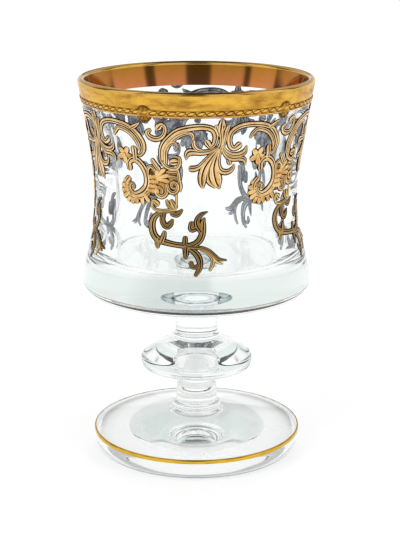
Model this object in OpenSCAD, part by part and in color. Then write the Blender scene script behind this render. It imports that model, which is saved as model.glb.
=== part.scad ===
// Short stemmed goblet of thick clear glass, gilded outside and at the rim.
// Millimetres, +Z up, origin at the centre of the foot's underside.

/* [Foot] */
// Diameter of the foot at its edge
foot_d = 79.8; // [72:0.2:88]
// How far the flat ring that the goblet stands on stays inside the foot's edge, all round
foot_base_in = 3.4; // [2:0.1:6]
// Height of the foot's edge, where its gold line sits
foot_edge_h = 8; // [6:0.1:9]
// Height of the foot at its crown, where the stem starts
foot_h = 14.1; // [12:0.1:18]
// Diameter of the foot's crown
crown_d = 21.2; // [20:0.1:26]
// Diameter of the shallow ground hollow under the foot
hollow_d = 50; // [30:1:56]
// Depth of the ground hollow
hollow_depth = 1.2; // [0.4:0.1:2.5]

/* [Stem] */
// Height of the ring between the foot and the lower neck
lower_collar_h = 4.2; // [3:0.1:6]
// Diameter of the lower collar's bead
lower_collar_d = 18.8; // [17.6:0.1:20]
// Height of the lower neck
lower_neck_h = 10.9; // [8:0.1:14]
// Diameter of the lower neck
lower_neck_d = 15.5; // [14.5:0.1:16.4]
// Height of the knop
knop_h = 14.9; // [12:0.1:18]
// Diameter of the knop
knop_d = 43; // [36:0.5:50]
// Diameter at which the knop meets the lower neck
knop_foot_d = 14.2; // [12:0.1:14.4]
// Height of the collar over the knop
upper_collar_h = 2.3; // [1.8:0.1:4]
// Diameter of the upper collar
upper_collar_d = 18.3; // [17.4:0.1:20]
// Height of the upper neck
upper_neck_h = 14.2; // [10:0.1:20]
// Diameter of the upper neck
upper_neck_d = 16.4; // [14:0.1:17.2]

/* [Bowl] */
// Height of the bowl's glass
bowl_h = 84.2; // [76:0.2:92]
// Diameter of the glass at the lip
rim_d = 87.6; // [82:0.2:94]
// How far the waist is drawn in from the lip, all round
waist_in = 5.75; // [4:0.05:7.5]
// Height of the waist above the bowl's underside
waist_h = 42.4; // [38:0.2:46]
// How far the base's widest ring stays inside the lip, all round
base_in = 0.35; // [0:0.05:2]
// Height of the base's widest ring above the bowl's underside
base_edge_h = 6.8; // [5:0.1:8]
// Thickness of the wall at the lip
lip_wall = 2.2; // [1.6:0.1:3]
// Thickness of the bowl's floor
floor_t = 15.2; // [11:0.1:18]
// Thickness of the glass between the base's widest ring and the cavity's floor
base_wall = 11.65; // [10:0.05:15]
// Thickness of the wall at the waist
waist_wall = 7.05; // [6:0.05:10]

/* [Gilding] */
// Thickness of the raised gilding
gilt_t = 0.25; // [0.15:0.05:0.5]
// Thickness of the plain gold of the rim
leaf_t = 0.2; // [0.1:0.05:0.4]
// Clearance between the glass and the gold on it
gilt_gap = 0.02; // [0.01:0.01:0.05]
// Height of the gold band outside the rim
band_h = 8.8; // [7:0.1:12]
// Height of the gold band inside the rim
inner_band_h = 9; // [6:0.1:12]
// Height of the chain border at the foot of the band
chain_h = 1.8; // [1.2:0.1:2.6]
// Height of the plain line under the chain border
line_h = 0.5; // [0.3:0.05:0.7]
// How far the foot's gold line reaches down from the foot's edge
foot_line_h = 0.95; // [0.5:0.05:1.6]
// How far the foot's gold line reaches in over the foot's shoulder
foot_line_in = 1; // [0.6:0.05:2]
// How many times the ornament repeats round the bowl
repeats = 5; // [4:1:6]
// Height of the scrollwork, from its lowest leaf to the band
field_h = 57; // [50:0.5:60]
// Diameter of a rosette
rosette_d = 6.2; // [5:0.1:7]
// Width of the seam between two motifs
seam = 0.16; // [0.1:0.02:0.3]

/* [Hidden] */

$fn = 96;
glass = [0.86, 0.93, 0.92, 0.45];
gold = [0.80, 0.62, 0.27];
copper = [0.66, 0.38, 0.22];
bronze = [0.48, 0.34, 0.16];

// heights of the joints in the stack of glass
foot_top = foot_h;
lower_collar_top = foot_top + lower_collar_h;
lower_neck_top = lower_collar_top + lower_neck_h;
knop_top = lower_neck_top + knop_h;
upper_collar_top = knop_top + upper_collar_h;
bowl_z = upper_collar_top + upper_neck_h;
lip_r = lip_wall / 2;
lip_z = bowl_z + bowl_h - lip_r;
rim_r = rim_d / 2;
waist_d = rim_d - 2 * waist_in;
base_d = rim_d - 2 * base_in;
cavity_floor_d = base_d - 2 * base_wall;
cavity_waist_d = waist_d - 2 * waist_wall;
band_z = bowl_z + bowl_h - band_h + leaf_t;
field_z = band_z - field_h;
neck_flare_share = 1.1;
collar_seat_share = 0.97;
joint_r = neck_flare_share * upper_neck_d / 2;

// The outer wall, as [share of the height, share of the change of radius].
// From the waist up to the lip
upper_wall_shares = [
    [0, 0], [0.1, 0.02], [0.22, 0.085], [0.37, 0.225],
    [0.52, 0.39], [0.67, 0.57], [0.81, 0.75], [0.91, 0.885], [1, 1]
];
// From the waist down to the base's widest ring
lower_wall_shares = [
    [1, 1], [0.95, 0.975], [0.85, 0.86], [0.7, 0.64],
    [0.55, 0.43], [0.4, 0.21], [0.25, 0.06], [0.1, 0.008]
];
// From the middle of the underside out to the widest ring,
// as [share of the base's radius, share of the edge's height]
underside_shares = [[0.45, 0.06], [0.724, 0.18], [0.862, 0.34], [0.942, 0.53], [0.984, 0.8]];
// The cavity, from its waist up to the lip and from its waist down to its floor
cavity_upper_shares = [
    [0, 0], [0.14, 0.05], [0.27, 0.15], [0.41, 0.3],
    [0.55, 0.47], [0.69, 0.66], [0.82, 0.82], [0.91, 0.915], [1, 1]
];
cavity_lower_shares = [[0, 1], [0.25, 0.8], [0.5, 0.5], [0.75, 0.15]];
cavity_waist_share = 0.356;
floor_corner_share = 0.09;

waist_z = bowl_z + waist_h;
base_z = bowl_z + base_edge_h;
floor_z = bowl_z + floor_t;
cavity_top_r = rim_r - lip_wall;
cavity_h = lip_z - floor_z;
cavity_waist_z = floor_z + cavity_waist_share * cavity_h;
floor_corner = floor_corner_share * cavity_floor_d / 2;

function between(a, b, share) = a + (b - a) * share;

// [height, radius] of the outer wall, from the widest ring to the lip
wall = concat(
    [for (s = lower_wall_shares)
        [between(waist_z, base_z, s[0]), between(waist_d, base_d, s[1]) / 2]],
    [for (s = upper_wall_shares)
        [between(waist_z, lip_z, s[0]), between(waist_d, rim_d, s[1]) / 2]]
);
cavity_wall = concat(
    [for (s = cavity_lower_shares)
        [between(floor_z + floor_corner, cavity_waist_z, s[0]),
         between(cavity_waist_d, cavity_floor_d, s[1]) / 2]],
    [for (s = cavity_upper_shares)
        [between(cavity_waist_z, lip_z, s[0]),
         between(cavity_waist_d / 2, cavity_top_r, s[1])]]
);
function wall_r(z) = lookup(z, wall);

// points of an arc in the [radius, height] plane
function arc(c, r, from, to, steps) =
    [for (i = [0:steps]) let (a = between(from, to, i / steps)) c + r * [cos(a), sin(a)]];
function flipped(points) = [for (i = [len(points) - 1:-1:0]) points[i]];
function as_outline(points) = [for (p = points) [p[1], p[0]]];
// a path of [radius, height] moved out of the glass by d, square to itself
function moved_out(points, d) =
    [for (i = [0:len(points) - 1])
        let (step = points[min(i + 1, len(points) - 1)] - points[max(i - 1, 0)],
             along = step / norm(step))
            points[i] + d * [along[1], -along[0]]];

// The foot's shoulder, from its edge in to its crown,
// as [share of the way in, share of the way up]
shoulder_shares = [
    [0, 0], [0.015, 0.06], [0.04, 0.1], [0.3, 0.36], [0.6, 0.66], [0.88, 0.92], [1, 1]
];
foot_r = foot_d / 2;
shoulder = [for (s = shoulder_shares)
    [between(foot_r, crown_d / 2, s[0]), between(foot_edge_h, foot_h, s[1])]];

// Glass

module bowl() {
    lip = arc([rim_r - lip_r, lip_z], lip_r, 0, 180, 12);
    corner = arc([cavity_floor_d / 2 - floor_corner, floor_z + floor_corner],
        floor_corner, 0, -90, 6);
    color(glass)
        rotate_extrude()
            polygon(concat(
                [[0, bowl_z], [joint_r, bowl_z]],
                [for (s = underside_shares) [s[0] * base_d / 2, bowl_z + s[1] * base_edge_h]],
                as_outline([for (p = wall) if (p[0] < lip_z) p]),
                lip,
                flipped(as_outline([for (p = cavity_wall) if (p[0] < lip_z
                    && p[0] > floor_z + floor_corner) p])),
                corner,
                [[0, floor_z]]
            ));
}

// A turned piece of the stem: radii as shares of r, heights as shares of h
module turned(z, h, r, outline_shares) {
    color(glass)
        rotate_extrude()
            polygon(concat(
                [[0, z]],
                [for (s = outline_shares) [s[0] * r, z + s[1] * h]],
                [[0, z + h]]
            ));
}

module upper_neck() {
    neck_shares = [[1, 0], [0.985, 0.3], [0.985, 0.7], [1.02, 0.88], [neck_flare_share, 1]];
    turned(upper_collar_top, upper_neck_h, upper_neck_d / 2, neck_shares);
}

module upper_collar() {
    collar_r = upper_collar_d / 2;
    neck_share = upper_neck_d / upper_collar_d;
    collar_shares = [
        [collar_seat_share, 0], [1, 0.2], [1, 0.45], [0.97, 0.75], [neck_share, 1]
    ];
    turned(knop_top, upper_collar_h, collar_r, collar_shares);
}

module knop() {
    foot_share = knop_foot_d / knop_d;
    seat_share = collar_seat_share * upper_collar_d / knop_d;
    knop_shares = [
        [foot_share, 0], [0.65, 0.1], [0.94, 0.235], [0.985, 0.335], [1, 0.43],
        [0.99, 0.5], [0.95, 0.58], [0.84, 0.7], [0.7, 0.81], [0.56, 0.9], [seat_share, 1]
    ];
    turned(lower_neck_top, knop_h, knop_d / 2, knop_shares);
}

module lower_neck() {
    foot_share = knop_foot_d / lower_neck_d;
    neck_shares = [[1, 0], [1, 0.6], [0.97, 0.7], [foot_share, 0.8], [foot_share, 1]];
    turned(lower_collar_top, lower_neck_h, lower_neck_d / 2, neck_shares);
}

module lower_collar() {
    collar_r = lower_collar_d / 2;
    crown_share = crown_d / lower_collar_d;
    collar_shares = [
        [crown_share, 0], [1.06, 0.12], [1.02, 0.25], [0.975, 0.42], [1, 0.62],
        [0.96, 0.84], [0.87, 1]
    ];
    turned(foot_top, lower_collar_h, collar_r, collar_shares);
}

module foot() {
    base_r = foot_r - foot_base_in;
    edge_shares = [[0, 0], [0.45, 0.08], [0.78, 0.25], [0.95, 0.48], [1, 0.72]];
    hollow_ball_r = (hollow_d * hollow_d / 4 + hollow_depth * hollow_depth) / (2 * hollow_depth);
    color(glass)
        difference() {
            rotate_extrude()
                polygon(concat(
                    [[0, 0]],
                    [for (s = edge_shares)
                        [between(base_r, foot_r, s[0]), s[1] * foot_edge_h]],
                    shoulder,
                    [[0, foot_h]]
                ));
            translate([0, 0, hollow_depth - hollow_ball_r])
                sphere(r = hollow_ball_r);
        }
}

// Plain gold

// A layer of gold on the outer wall between two heights
module gold_layer(z0, z1, inner, outer) {
    between_z = [for (p = wall) if (p[0] > z0 && p[0] < z1) p[0]];
    heights = concat([z0], between_z, [z1]);
    rotate_extrude()
        polygon(concat(
            [for (z = heights) [wall_r(z) + outer, z]],
            [for (z = flipped(heights)) [wall_r(z) + inner, z]]
        ));
}

module outer_band() {
    color(gold)
        difference() {
            gold_layer(band_z, lip_z, gilt_gap, gilt_gap + leaf_t);
            for (k = [1:repeats])
                rosette_place(k)
                    rotate([90, 0, 0])
                        cylinder(h = rim_d, d = rosette_d + 2 * seam);
        }
}

module lip_band() {
    outer = arc([rim_r - lip_r, lip_z], lip_r + gilt_gap + leaf_t, 0, 180, 12);
    inner = arc([rim_r - lip_r, lip_z], lip_r + gilt_gap, 180, 0, 12);
    color(gold)
        rotate_extrude()
            polygon(concat(outer, inner));
}

module inner_band() {
    low = bowl_z + bowl_h - inner_band_h;
    heights = concat([low], [for (p = cavity_wall) if (p[0] > low && p[0] < lip_z) p[0]], [lip_z]);
    color(copper)
        rotate_extrude()
            polygon(concat(
                [for (z = heights) [lookup(z, cavity_wall) - gilt_gap, z]],
                [for (z = flipped(heights)) [lookup(z, cavity_wall) - gilt_gap - leaf_t, z]]
            ));
}

// The chain border and the line under it stand on the band
module raised_ring(z0, z1) {
    base = gilt_gap + leaf_t;
    difference() {
        gold_layer(z0, z1, base, base + leaf_t);
        for (k = [1:repeats])
            rosette_place(k)
                rotate([90, 0, 0])
                    cylinder(h = rim_d, d = rosette_d + 2 * seam);
    }
}

module chain_border() {
    color(gold) raised_ring(band_z + line_h, band_z + line_h + chain_h);
}

module band_line() {
    color(gold) raised_ring(band_z, band_z + line_h);
}

module foot_line() {
    inner_r = foot_r - foot_line_in;
    path = concat(
        [[foot_r, foot_edge_h - foot_line_h]],
        [for (p = shoulder) if (p[0] > inner_r) p],
        [[inner_r, lookup(inner_r, shoulder)]]
    );
    color(gold)
        rotate_extrude()
            polygon(concat(
                moved_out(path, gilt_gap),
                flipped(moved_out(path, gilt_gap + leaf_t))
            ));
}

// Raised gilding. Its motifs are drawn on a squared draft of one repeat:
// a column is a 72nd of the repeat's angle, counted from the goblet's front,
// and a row is a 57th of the field's height, counted up from its lowest leaf.
// Each place is [column, row] and the width of the stroke there, in rows.

draft_columns = 72;
draft_rows = 57;
row_h = field_h / draft_rows;
column_angle = 360 / repeats / draft_columns;
stroke_steps = 3;
petals = 8;
petal_share = 0.26;
petal_place_share = 0.34;
rosette_boss_share = 0.3;
rosette_column = -25.2;
rosette_row = 57.9;
// the column that each motif faces
palmette_centre = 11;
left_scroll_centre = -4;
right_scroll_centre = 30;
comma_centre = -20;
cartouche_centre = -24;
pendant_centre = -5;

palmette_shares = [
    [[9.6, 53.6, 1.9], [10.4, 52.2, 2.0], [11.4, 50.6, 1.5]],
    [[15.3, 53.4, 1.7], [14.6, 51.8, 1.9], [14.0, 49.0, 1.7], [13.2, 46.6, 1.5]],
    [[12.3, 55.2, 2.6], [12.2, 53.8, 3.4], [11.9, 52.0, 2.5], [12.2, 50.4, 1.9], [12.3, 48.2, 1.8],
     [11.7, 46.2, 2.5]],
    [[10.4, 45.4, 1.6], [7.0, 42.0, 2.6], [4.4, 39.0, 3.4], [3.1, 36.0, 3.5], [3.0, 33.4, 2.9],
     [3.2, 32.2, 1.7]],
    [[11.0, 45.4, 1.6], [8.6, 42.2, 2.5], [6.8, 38.8, 2.9], [6.3, 36.0, 3.1], [7.3, 33.8, 2.9],
     [9.4, 32.2, 1.8]],
    [[11.4, 45.2, 1.6], [9.8, 41.8, 2.9], [9.1, 38.6, 4.0], [9.7, 35.8, 4.7], [10.7, 33.4, 4.2],
     [12.1, 31.5, 1.2]],
    [[10.6, 46.0, 1.1], [6.6, 43.2, 1.6], [3.6, 40.9, 1.8], [1.4, 39.4, 2.0], [-0.8, 38.7, 2.5],
     [-2.2, 38.6, 2.6]],
    [[12.0, 45.6, 1.5], [11.1, 42.6, 1.8], [11.0, 40.0, 2.2], [12.1, 38.0, 2.5], [14.4, 37.2, 2.5],
     [17.0, 37.4, 2.2], [18.8, 38.5, 1.7], [19.4, 39.6, 0.9]],
    [[10.2, 46.2, 1.5], [6.6, 44.9, 2.1], [2.4, 44.5, 2.4], [-1.2, 44.7, 2.6], [-3.6, 44.5, 3.1],
     [-4.8, 43.4, 2.1], [-5.1, 42.0, 0.7]],
    [[2.6, 45.2, 1.5], [0.2, 45.8, 1.8], [-1.2, 47.2, 1.9], [-1.0, 48.6, 1.0]],
    [[12.8, 46.6, 1.3], [15.0, 44.6, 1.7], [18.4, 43.4, 2.0], [22.0, 43.3, 2.4], [24.6, 44.2, 2.4],
     [25.6, 46.1, 0.8]],
    [[12.8, 45.4, 1.2], [15.4, 42.9, 1.9], [18.4, 41.9, 2.2], [22.0, 41.9, 2.4], [24.8, 41.2, 2.1],
     [25.7, 39.4, 0.7]],
    [[16.2, 42.2, 1.8], [16.9, 40.6, 2.1]]
];
left_scroll_shares = [
    [[5.5, 47.9, 2.8], [7.0, 46.6, 2.0], [8.8, 47.8, 2.2], [9.3, 50.6, 2.5], [7.6, 52.8, 2.5],
     [4.0, 53.6, 2.6], [0.0, 53.6, 2.7], [-5.0, 53.0, 2.8], [-9.5, 51.9, 2.7], [-13.2, 49.8, 2.6],
     [-16.2, 47.3, 2.6], [-17.7, 44.6, 2.4], [-17.8, 42.0, 2.2], [-17.2, 40.0, 1.9]],
    [[-1.6, 49.4, 0.9], [-1.9, 50.8, 1.8], [-3.8, 51.5, 1.7], [-7.2, 50.9, 1.7], [-10.6, 49.3, 1.8],
     [-13.6, 47.1, 2.0], [-15.4, 44.6, 2.1], [-15.7, 42.0, 2.0], [-15.9, 40.2, 1.8]],
    [[-14.8, 45.8, 1.3], [-13.0, 47.4, 1.7], [-10.8, 47.9, 1.6], [-9.3, 46.8, 0.9]],
    [[-17.2, 40.6, 1.8], [-15.4, 39.2, 1.8], [-12.6, 38.5, 1.7], [-9.8, 38.8, 1.7], [-8.4, 40.6, 1.6],
     [-8.6, 42.5, 1.3], [-10.6, 43.0, 1.0]],
    [[-11.7, 40.9, 3.0], [-10.7, 41.0, 3.0]]
];
right_scroll_shares = [
    [[21.3, 46.6, 2.9], [19.0, 45.6, 2.2], [17.0, 46.6, 2.4], [16.2, 49.2, 2.4], [17.4, 51.7, 2.4],
     [20.5, 53.3, 2.4], [25.0, 54.0, 2.4], [30.0, 53.9, 2.4], [35.0, 53.3, 2.4], [39.4, 52.0, 2.4],
     [42.6, 49.8, 2.5], [44.6, 47.2, 2.5], [44.7, 44.8, 2.2], [43.0, 43.0, 1.8], [41.2, 42.6, 1.5],
     [39.9, 43.3, 1.3]],
    [[27.4, 49.4, 1.3], [28.6, 50.6, 2.0], [30.8, 51.9, 1.9], [34.4, 51.6, 1.9], [38.2, 50.2, 2.0],
     [41.0, 48.0, 2.1], [42.3, 45.8, 1.8], [42.2, 44.4, 1.1]],
    [[38.8, 52.4, 2.0], [41.6, 53.4, 1.8], [43.6, 54.4, 0.7]],
    [[39.2, 44.5, 2.9], [39.3, 42.6, 2.5], [39.2, 40.9, 2.6]]
];
comma_shares = [
    [[-18.1, 53.5, 3.0], [-16.6, 54.4, 1.7], [-15.2, 53.3, 1.8], [-15.4, 51.4, 1.9], [-17.4, 49.6, 2.0],
     [-20.4, 49.0, 2.4], [-23.3, 49.7, 2.4], [-24.5, 51.2, 2.0], [-23.2, 52.0, 1.8]]
];
cartouche_shares = [
    [[-38.6, 33.2, 2.8], [-40.2, 31.8, 2.1], [-40.2, 29.6, 1.9], [-38.8, 27.6, 1.9], [-36.2, 26.8, 1.9],
     [-33.0, 26.8, 2.0], [-29.8, 27.4, 2.2], [-26.8, 28.6, 2.1]],
    [[-36.8, 37.8, 2.9], [-36.7, 39.5, 2.6], [-34.4, 40.8, 2.7], [-31.4, 40.5, 2.8], [-28.7, 38.8, 2.8],
     [-27.0, 36.3, 2.7], [-26.5, 33.7, 2.7], [-27.2, 31.4, 2.8], [-29.2, 29.7, 2.9], [-32.0, 28.5, 2.7],
     [-34.8, 28.1, 2.1], [-37.0, 28.9, 1.7], [-38.0, 30.4, 1.6], [-37.2, 31.7, 1.5], [-35.7, 31.8, 1.3],
     [-34.9, 30.8, 1.5], [-35.6, 30.1, 1.3]],
    [[-22.6, 41.2, 1.8], [-21.4, 39.8, 2.1], [-19.8, 38.4, 2.1]],
    [[-25.8, 36.2, 1.3], [-25.5, 38.0, 1.6], [-23.8, 38.9, 1.7], [-22.2, 38.0, 1.5]],
    [[-10.4, 39.0, 1.5], [-9.3, 36.8, 1.6], [-8.9, 34.4, 1.6], [-8.4, 32.2, 1.8], [-8.6, 30.6, 1.3]],
    [[-13.5, 37.4, 1.7], [-11.0, 37.4, 1.5]],
    [[-13.6, 35.5, 1.7], [-11.0, 35.4, 1.5]],
    [[-15.2, 32.4, 1.3], [-14.6, 30.7, 1.8], [-12.6, 29.7, 1.9], [-10.4, 30.3, 1.8], [-9.8, 32.1, 1.7],
     [-10.9, 33.4, 1.6], [-12.8, 33.2, 1.5], [-13.0, 31.9, 1.3], [-11.9, 31.5, 1.5]],
    [[-16.2, 32.2, 1.3], [-15.6, 30.4, 1.7], [-16.4, 28.9, 1.9], [-18.5, 28.0, 2.0], [-20.8, 28.5, 2.0],
     [-21.7, 30.0, 1.8], [-20.6, 31.3, 1.6], [-18.9, 31.1, 1.5], [-18.4, 30.0, 1.5]]
];
shell_shares = [
    [-25.6, 37.4], [-23.8, 38.6], [-21.0, 38.4], [-18.0, 38.2], [-15.0, 38.0], [-12.0, 38.4],
    [-10.0, 38.2], [-9.2, 35.5], [-8.8, 33.0], [-9.4, 30.4], [-12.0, 29.4], [-15.0, 28.8],
    [-18.0, 28.0], [-21.0, 28.4], [-24.0, 28.0], [-27.0, 28.6], [-27.2, 31.5], [-26.2, 35.0]
];
// Ribs that spread from a point, as [its column and row, the distances in rows at which a rib starts
// and ends, the directions of the first and the last rib, count, widths along a rib]
columns_per_row_share = 1.5;
rib_shares = [
    [[-35.8, 29.6], [2.4, 4.2], [140, 290], 7, [1.4, 2.2, 2.5]],
    [[-31.4, 31.0], [3.2, 5.4], [255, 305], 3, [1.6, 2.2, 2.4]],
    [[-22.0, 34.4], [1.0, 4.4], [72, -8], 4, [1.0, 1.9, 2.3]],
    [[-39.3, 42.2], [0.4, 2.0], [59, 347], 5, [1.4, 2.6, 2.7]]
];
pendant_shares = [
    [[-10.6, 29.4, 1.0], [-10.6, 26.8, 1.0], [-10.8, 24.4, 1.3]],
    [[-21.6, 25.5, 2.7], [-23.5, 26.3, 1.4], [-24.2, 24.6, 1.3], [-22.4, 23.2, 1.4], [-18.4, 22.9, 1.4],
     [-14.4, 23.2, 1.6], [-11.8, 23.6, 1.9]],
    [[-15.8, 26.6, 1.2], [-15.0, 25.2, 1.8], [-13.0, 24.2, 2.0]],
    [[-13.2, 26.4, 1.9], [-11.9, 24.8, 2.3]],
    [[-12.6, 22.0, 2.2], [-10.6, 21.8, 2.3], [-8.9, 22.6, 1.9], [-7.8, 23.4, 1.2]],
    [[-12.4, 23.1, 1.5], [-16.0, 22.7, 1.5], [-19.6, 22.0, 1.8], [-22.6, 20.6, 2.3], [-24.2, 18.4, 2.8],
     [-24.1, 15.9, 2.9], [-22.6, 13.7, 2.8], [-19.8, 12.3, 2.7], [-15.0, 11.5, 2.3], [-10.5, 11.0, 2.1],
     [-6.5, 10.8, 2.3], [-3.2, 10.5, 2.1]],
    [[-17.8, 21.8, 2.1], [-18.3, 19.6, 2.3], [-17.2, 17.9, 2.4], [-15.4, 17.4, 2.4], [-13.8, 18.5, 2.3],
     [-12.9, 19.6, 1.3]],
    [[-17.1, 15.0, 1.7], [-17.6, 13.6, 2.3], [-18.4, 12.2, 2.5]],
    [[-20.8, 12.2, 2.5], [-20.7, 10.8, 2.3], [-20.6, 10.0, 1.6]],
    [[-5.9, 13.3, 2.0], [-5.9, 11.8, 2.2], [-5.6, 10.2, 2.4], [-5.4, 8.2, 2.4], [-5.5, 6.8, 1.6]],
    [[-4.0, 10.8, 2.1], [-1.0, 11.4, 2.3], [1.4, 12.6, 2.6], [2.9, 14.6, 2.6], [3.2, 17.0, 2.8],
     [3.4, 19.0, 2.3], [4.1, 20.3, 1.3]],
    [[2.2, 16.4, 2.5], [0.6, 18.4, 2.6], [0.7, 20.2, 2.3], [2.4, 21.8, 1.8], [4.3, 22.5, 1.2],
     [5.9, 22.9, 0.5]],
    [[-2.5, 18.4, 2.4], [-2.5, 16.7, 2.6], [-0.2, 17.2, 2.5], [1.4, 17.4, 2.3]],
    [[-4.6, 10.2, 1.9], [-1.6, 8.9, 2.3], [0.7, 7.2, 2.6], [1.8, 5.0, 2.4], [1.5, 2.8, 2.0],
     [0.3, 1.4, 1.7], [-0.3, 0.7, 1.5]],
    [[-2.7, 4.6, 1.9], [-1.9, 3.5, 1.7], [-0.4, 3.3, 1.5], [1.2, 4.2, 1.4]],
    [[-4.0, 10.4, 1.7], [0.0, 10.2, 1.6], [3.5, 9.8, 1.6], [6.8, 8.7, 1.7], [9.4, 7.1, 1.7],
     [11.8, 5.9, 1.4], [15.2, 5.5, 0.7]],
    [[2.6, 9.4, 1.3], [6.0, 8.2, 1.5], [8.3, 6.2, 1.8], [8.1, 4.2, 1.5], [6.8, 2.4, 1.2]],
    [[9.0, 6.2, 1.1], [10.6, 4.9, 1.1], [13.2, 4.3, 0.6]]
];

// A smooth curve through hand-placed points
function curve_point(a, b, c, d, t) =
    (2 * b + (c - a) * t + (2 * a - 5 * b + 4 * c - d) * t * t
        + (3 * b - a - 3 * c + d) * t * t * t) / 2;
function smooth(p, steps) = concat(
    [for (i = [0:len(p) - 2], s = [0:steps - 1])
        curve_point(p[max(i - 1, 0)], p[i], p[i + 1], p[min(i + 2, len(p) - 1)], s / steps)],
    [p[len(p) - 1]]
);

// A place of the draft, seen straight on from the direction of one column
function placed(p, centre) =
    let (z = field_z + p[1] * row_h)
        [wall_r(z) * sin((p[0] - centre) * column_angle), z];

module stroke(points, centre) {
    path = smooth(points, stroke_steps);
    spine = [for (p = path) placed(p, centre)];
    last = len(path) - 1;
    side = [for (i = [0:last])
        let (d = spine[min(i + 1, last)] - spine[max(i - 1, 0)])
            [-d[1], d[0]] / norm(d) * path[i][2] * row_h / 2];
    for (i = [0:last - 1])
        polygon([
            spine[i] - side[i], spine[i + 1] - side[i + 1],
            spine[i + 1] + side[i + 1], spine[i] + side[i]
        ]);
    for (i = [0, last])
        translate(spine[i])
            circle(d = path[i][2] * row_h, $fn = 14);
}

module strokes(shares, centre) {
    for (points = shares)
        stroke(points, centre);
}

// The strokes of one row of ribs
function fan(ribs) =
    let (place = ribs[0], reach = ribs[1], directions = ribs[2], count = ribs[3], widths = ribs[4])
        [for (i = [0:count - 1])
            let (a = between(directions[0], directions[1], i / (count - 1)))
                [for (s = [0:2])
                    let (r = between(reach[0], reach[1], s / 2))
                        [place[0] + columns_per_row_share * r * cos(a), place[1] + r * sin(a),
                         widths[s]]]];

module palmette_draft(centre) {
    strokes(palmette_shares, centre);
}

module left_scroll_draft(centre) {
    strokes(left_scroll_shares, centre);
}

module cartouche_draft(centre) {
    strokes(cartouche_shares, centre);
    for (ribs = rib_shares)
        strokes(fan(ribs), centre);
    polygon([for (p = shell_shares) placed(p, centre)]);
}

// The flat draft, closed and rounded a little, then laid onto the wall
module laid_on(k, centre) {
    turn = column_angle * (centre + draft_columns * (k - 1));
    rotate([0, 0, turn])
        intersection() {
            gold_layer(field_z - row_h, band_z, gilt_gap, gilt_gap + gilt_t);
            translate([0, -waist_d / 4, 0])
                rotate([90, 0, 0])
                    linear_extrude(rim_d / 2)
                        offset(delta = -seam / 2)
                            offset(delta = seam / 2)
                                children();
        }
}

module palmette(k) {
    centre = palmette_centre;
    color(gold)
        laid_on(k, centre)
            palmette_draft(centre);
}

module left_scroll(k) {
    centre = left_scroll_centre;
    color(gold)
        laid_on(k, centre)
            difference() {
                left_scroll_draft(centre);
                offset(delta = seam) palmette_draft(centre);
            }
}

module right_scroll(k) {
    centre = right_scroll_centre;
    color(gold)
        laid_on(k, centre)
            difference() {
                strokes(right_scroll_shares, centre);
                offset(delta = seam) {
                    palmette_draft(centre);
                    cartouche_draft(centre - draft_columns);
                }
            }
}

module comma_scroll(k) {
    centre = comma_centre;
    color(gold)
        laid_on(k, centre)
            difference() {
                strokes(comma_shares, centre);
                offset(delta = seam) left_scroll_draft(centre);
            }
}

module cartouche(k) {
    centre = cartouche_centre;
    color(gold)
        laid_on(k, centre)
            difference() {
                cartouche_draft(centre);
                offset(delta = seam) left_scroll_draft(centre);
            }
}

module pendant(k) {
    centre = pendant_centre;
    color(bronze)
        laid_on(k, centre)
            difference() {
                strokes(pendant_shares, centre);
                offset(delta = seam) cartouche_draft(centre);
            }
}

module rosette_place(k) {
    rotate([0, 0, column_angle * (rosette_column + draft_columns * (k - 1))])
        translate([0, 0, field_z + rosette_row * row_h])
            children();
}

module rosette(k) {
    color(gold) {
        rosette_layer(k, gilt_t)
            cylinder(h = rim_d, d = rosette_d);
        rosette_layer(k, gilt_t + leaf_t) {
            cylinder(h = rim_d, d = rosette_boss_share * rosette_d, $fn = 12);
            for (petal = [1:petals])
                rotate([0, 0, petal * 360 / petals])
                    translate([petal_place_share * rosette_d, 0, 0])
                        cylinder(h = rim_d, d = petal_share * rosette_d, $fn = 12);
        }
    }
}

module rosette_layer(k, height) {
    intersection() {
        gold_layer(band_z - rosette_d, lip_z, gilt_gap, gilt_gap + height);
        rosette_place(k)
            rotate([90, 0, 0])
                children();
    }
}

bowl();
upper_neck();
upper_collar();
knop();
lower_neck();
lower_collar();
foot();
outer_band();
lip_band();
inner_band();
chain_border();
band_line();
foot_line();
for (k = [1:repeats]) {
    rosette(k);
    comma_scroll(k);
    palmette(k);
    left_scroll(k);
    right_scroll(k);
    cartouche(k);
    pendant(k);
}
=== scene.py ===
"""Looks of a gilded stemmed goblet of thick clear glass, made around its construction.

Metres, +Z up, origin at the centre of the foot's underside, front towards -Y. Outlines and the
ornament are drawn in millimetres, and MM turns them to metres.
"""

import math

import bpy
import numpy as np
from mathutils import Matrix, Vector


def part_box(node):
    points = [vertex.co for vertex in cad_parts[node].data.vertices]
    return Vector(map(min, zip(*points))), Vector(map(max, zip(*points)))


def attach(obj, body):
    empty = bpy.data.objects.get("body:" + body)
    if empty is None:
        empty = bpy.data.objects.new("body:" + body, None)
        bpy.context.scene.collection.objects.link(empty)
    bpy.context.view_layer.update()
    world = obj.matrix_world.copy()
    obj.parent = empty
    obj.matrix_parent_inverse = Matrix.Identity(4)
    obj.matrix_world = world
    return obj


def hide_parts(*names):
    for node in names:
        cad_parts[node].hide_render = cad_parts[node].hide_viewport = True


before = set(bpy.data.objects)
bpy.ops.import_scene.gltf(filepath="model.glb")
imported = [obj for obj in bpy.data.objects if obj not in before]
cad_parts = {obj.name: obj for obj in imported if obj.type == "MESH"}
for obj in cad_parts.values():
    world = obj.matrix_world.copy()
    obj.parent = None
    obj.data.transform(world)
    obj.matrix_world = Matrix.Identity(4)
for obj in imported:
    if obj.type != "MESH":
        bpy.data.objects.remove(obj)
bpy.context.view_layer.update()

MM = 0.001
BODY = "root"


# Heights and radii of the construction, read from the frame

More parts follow.
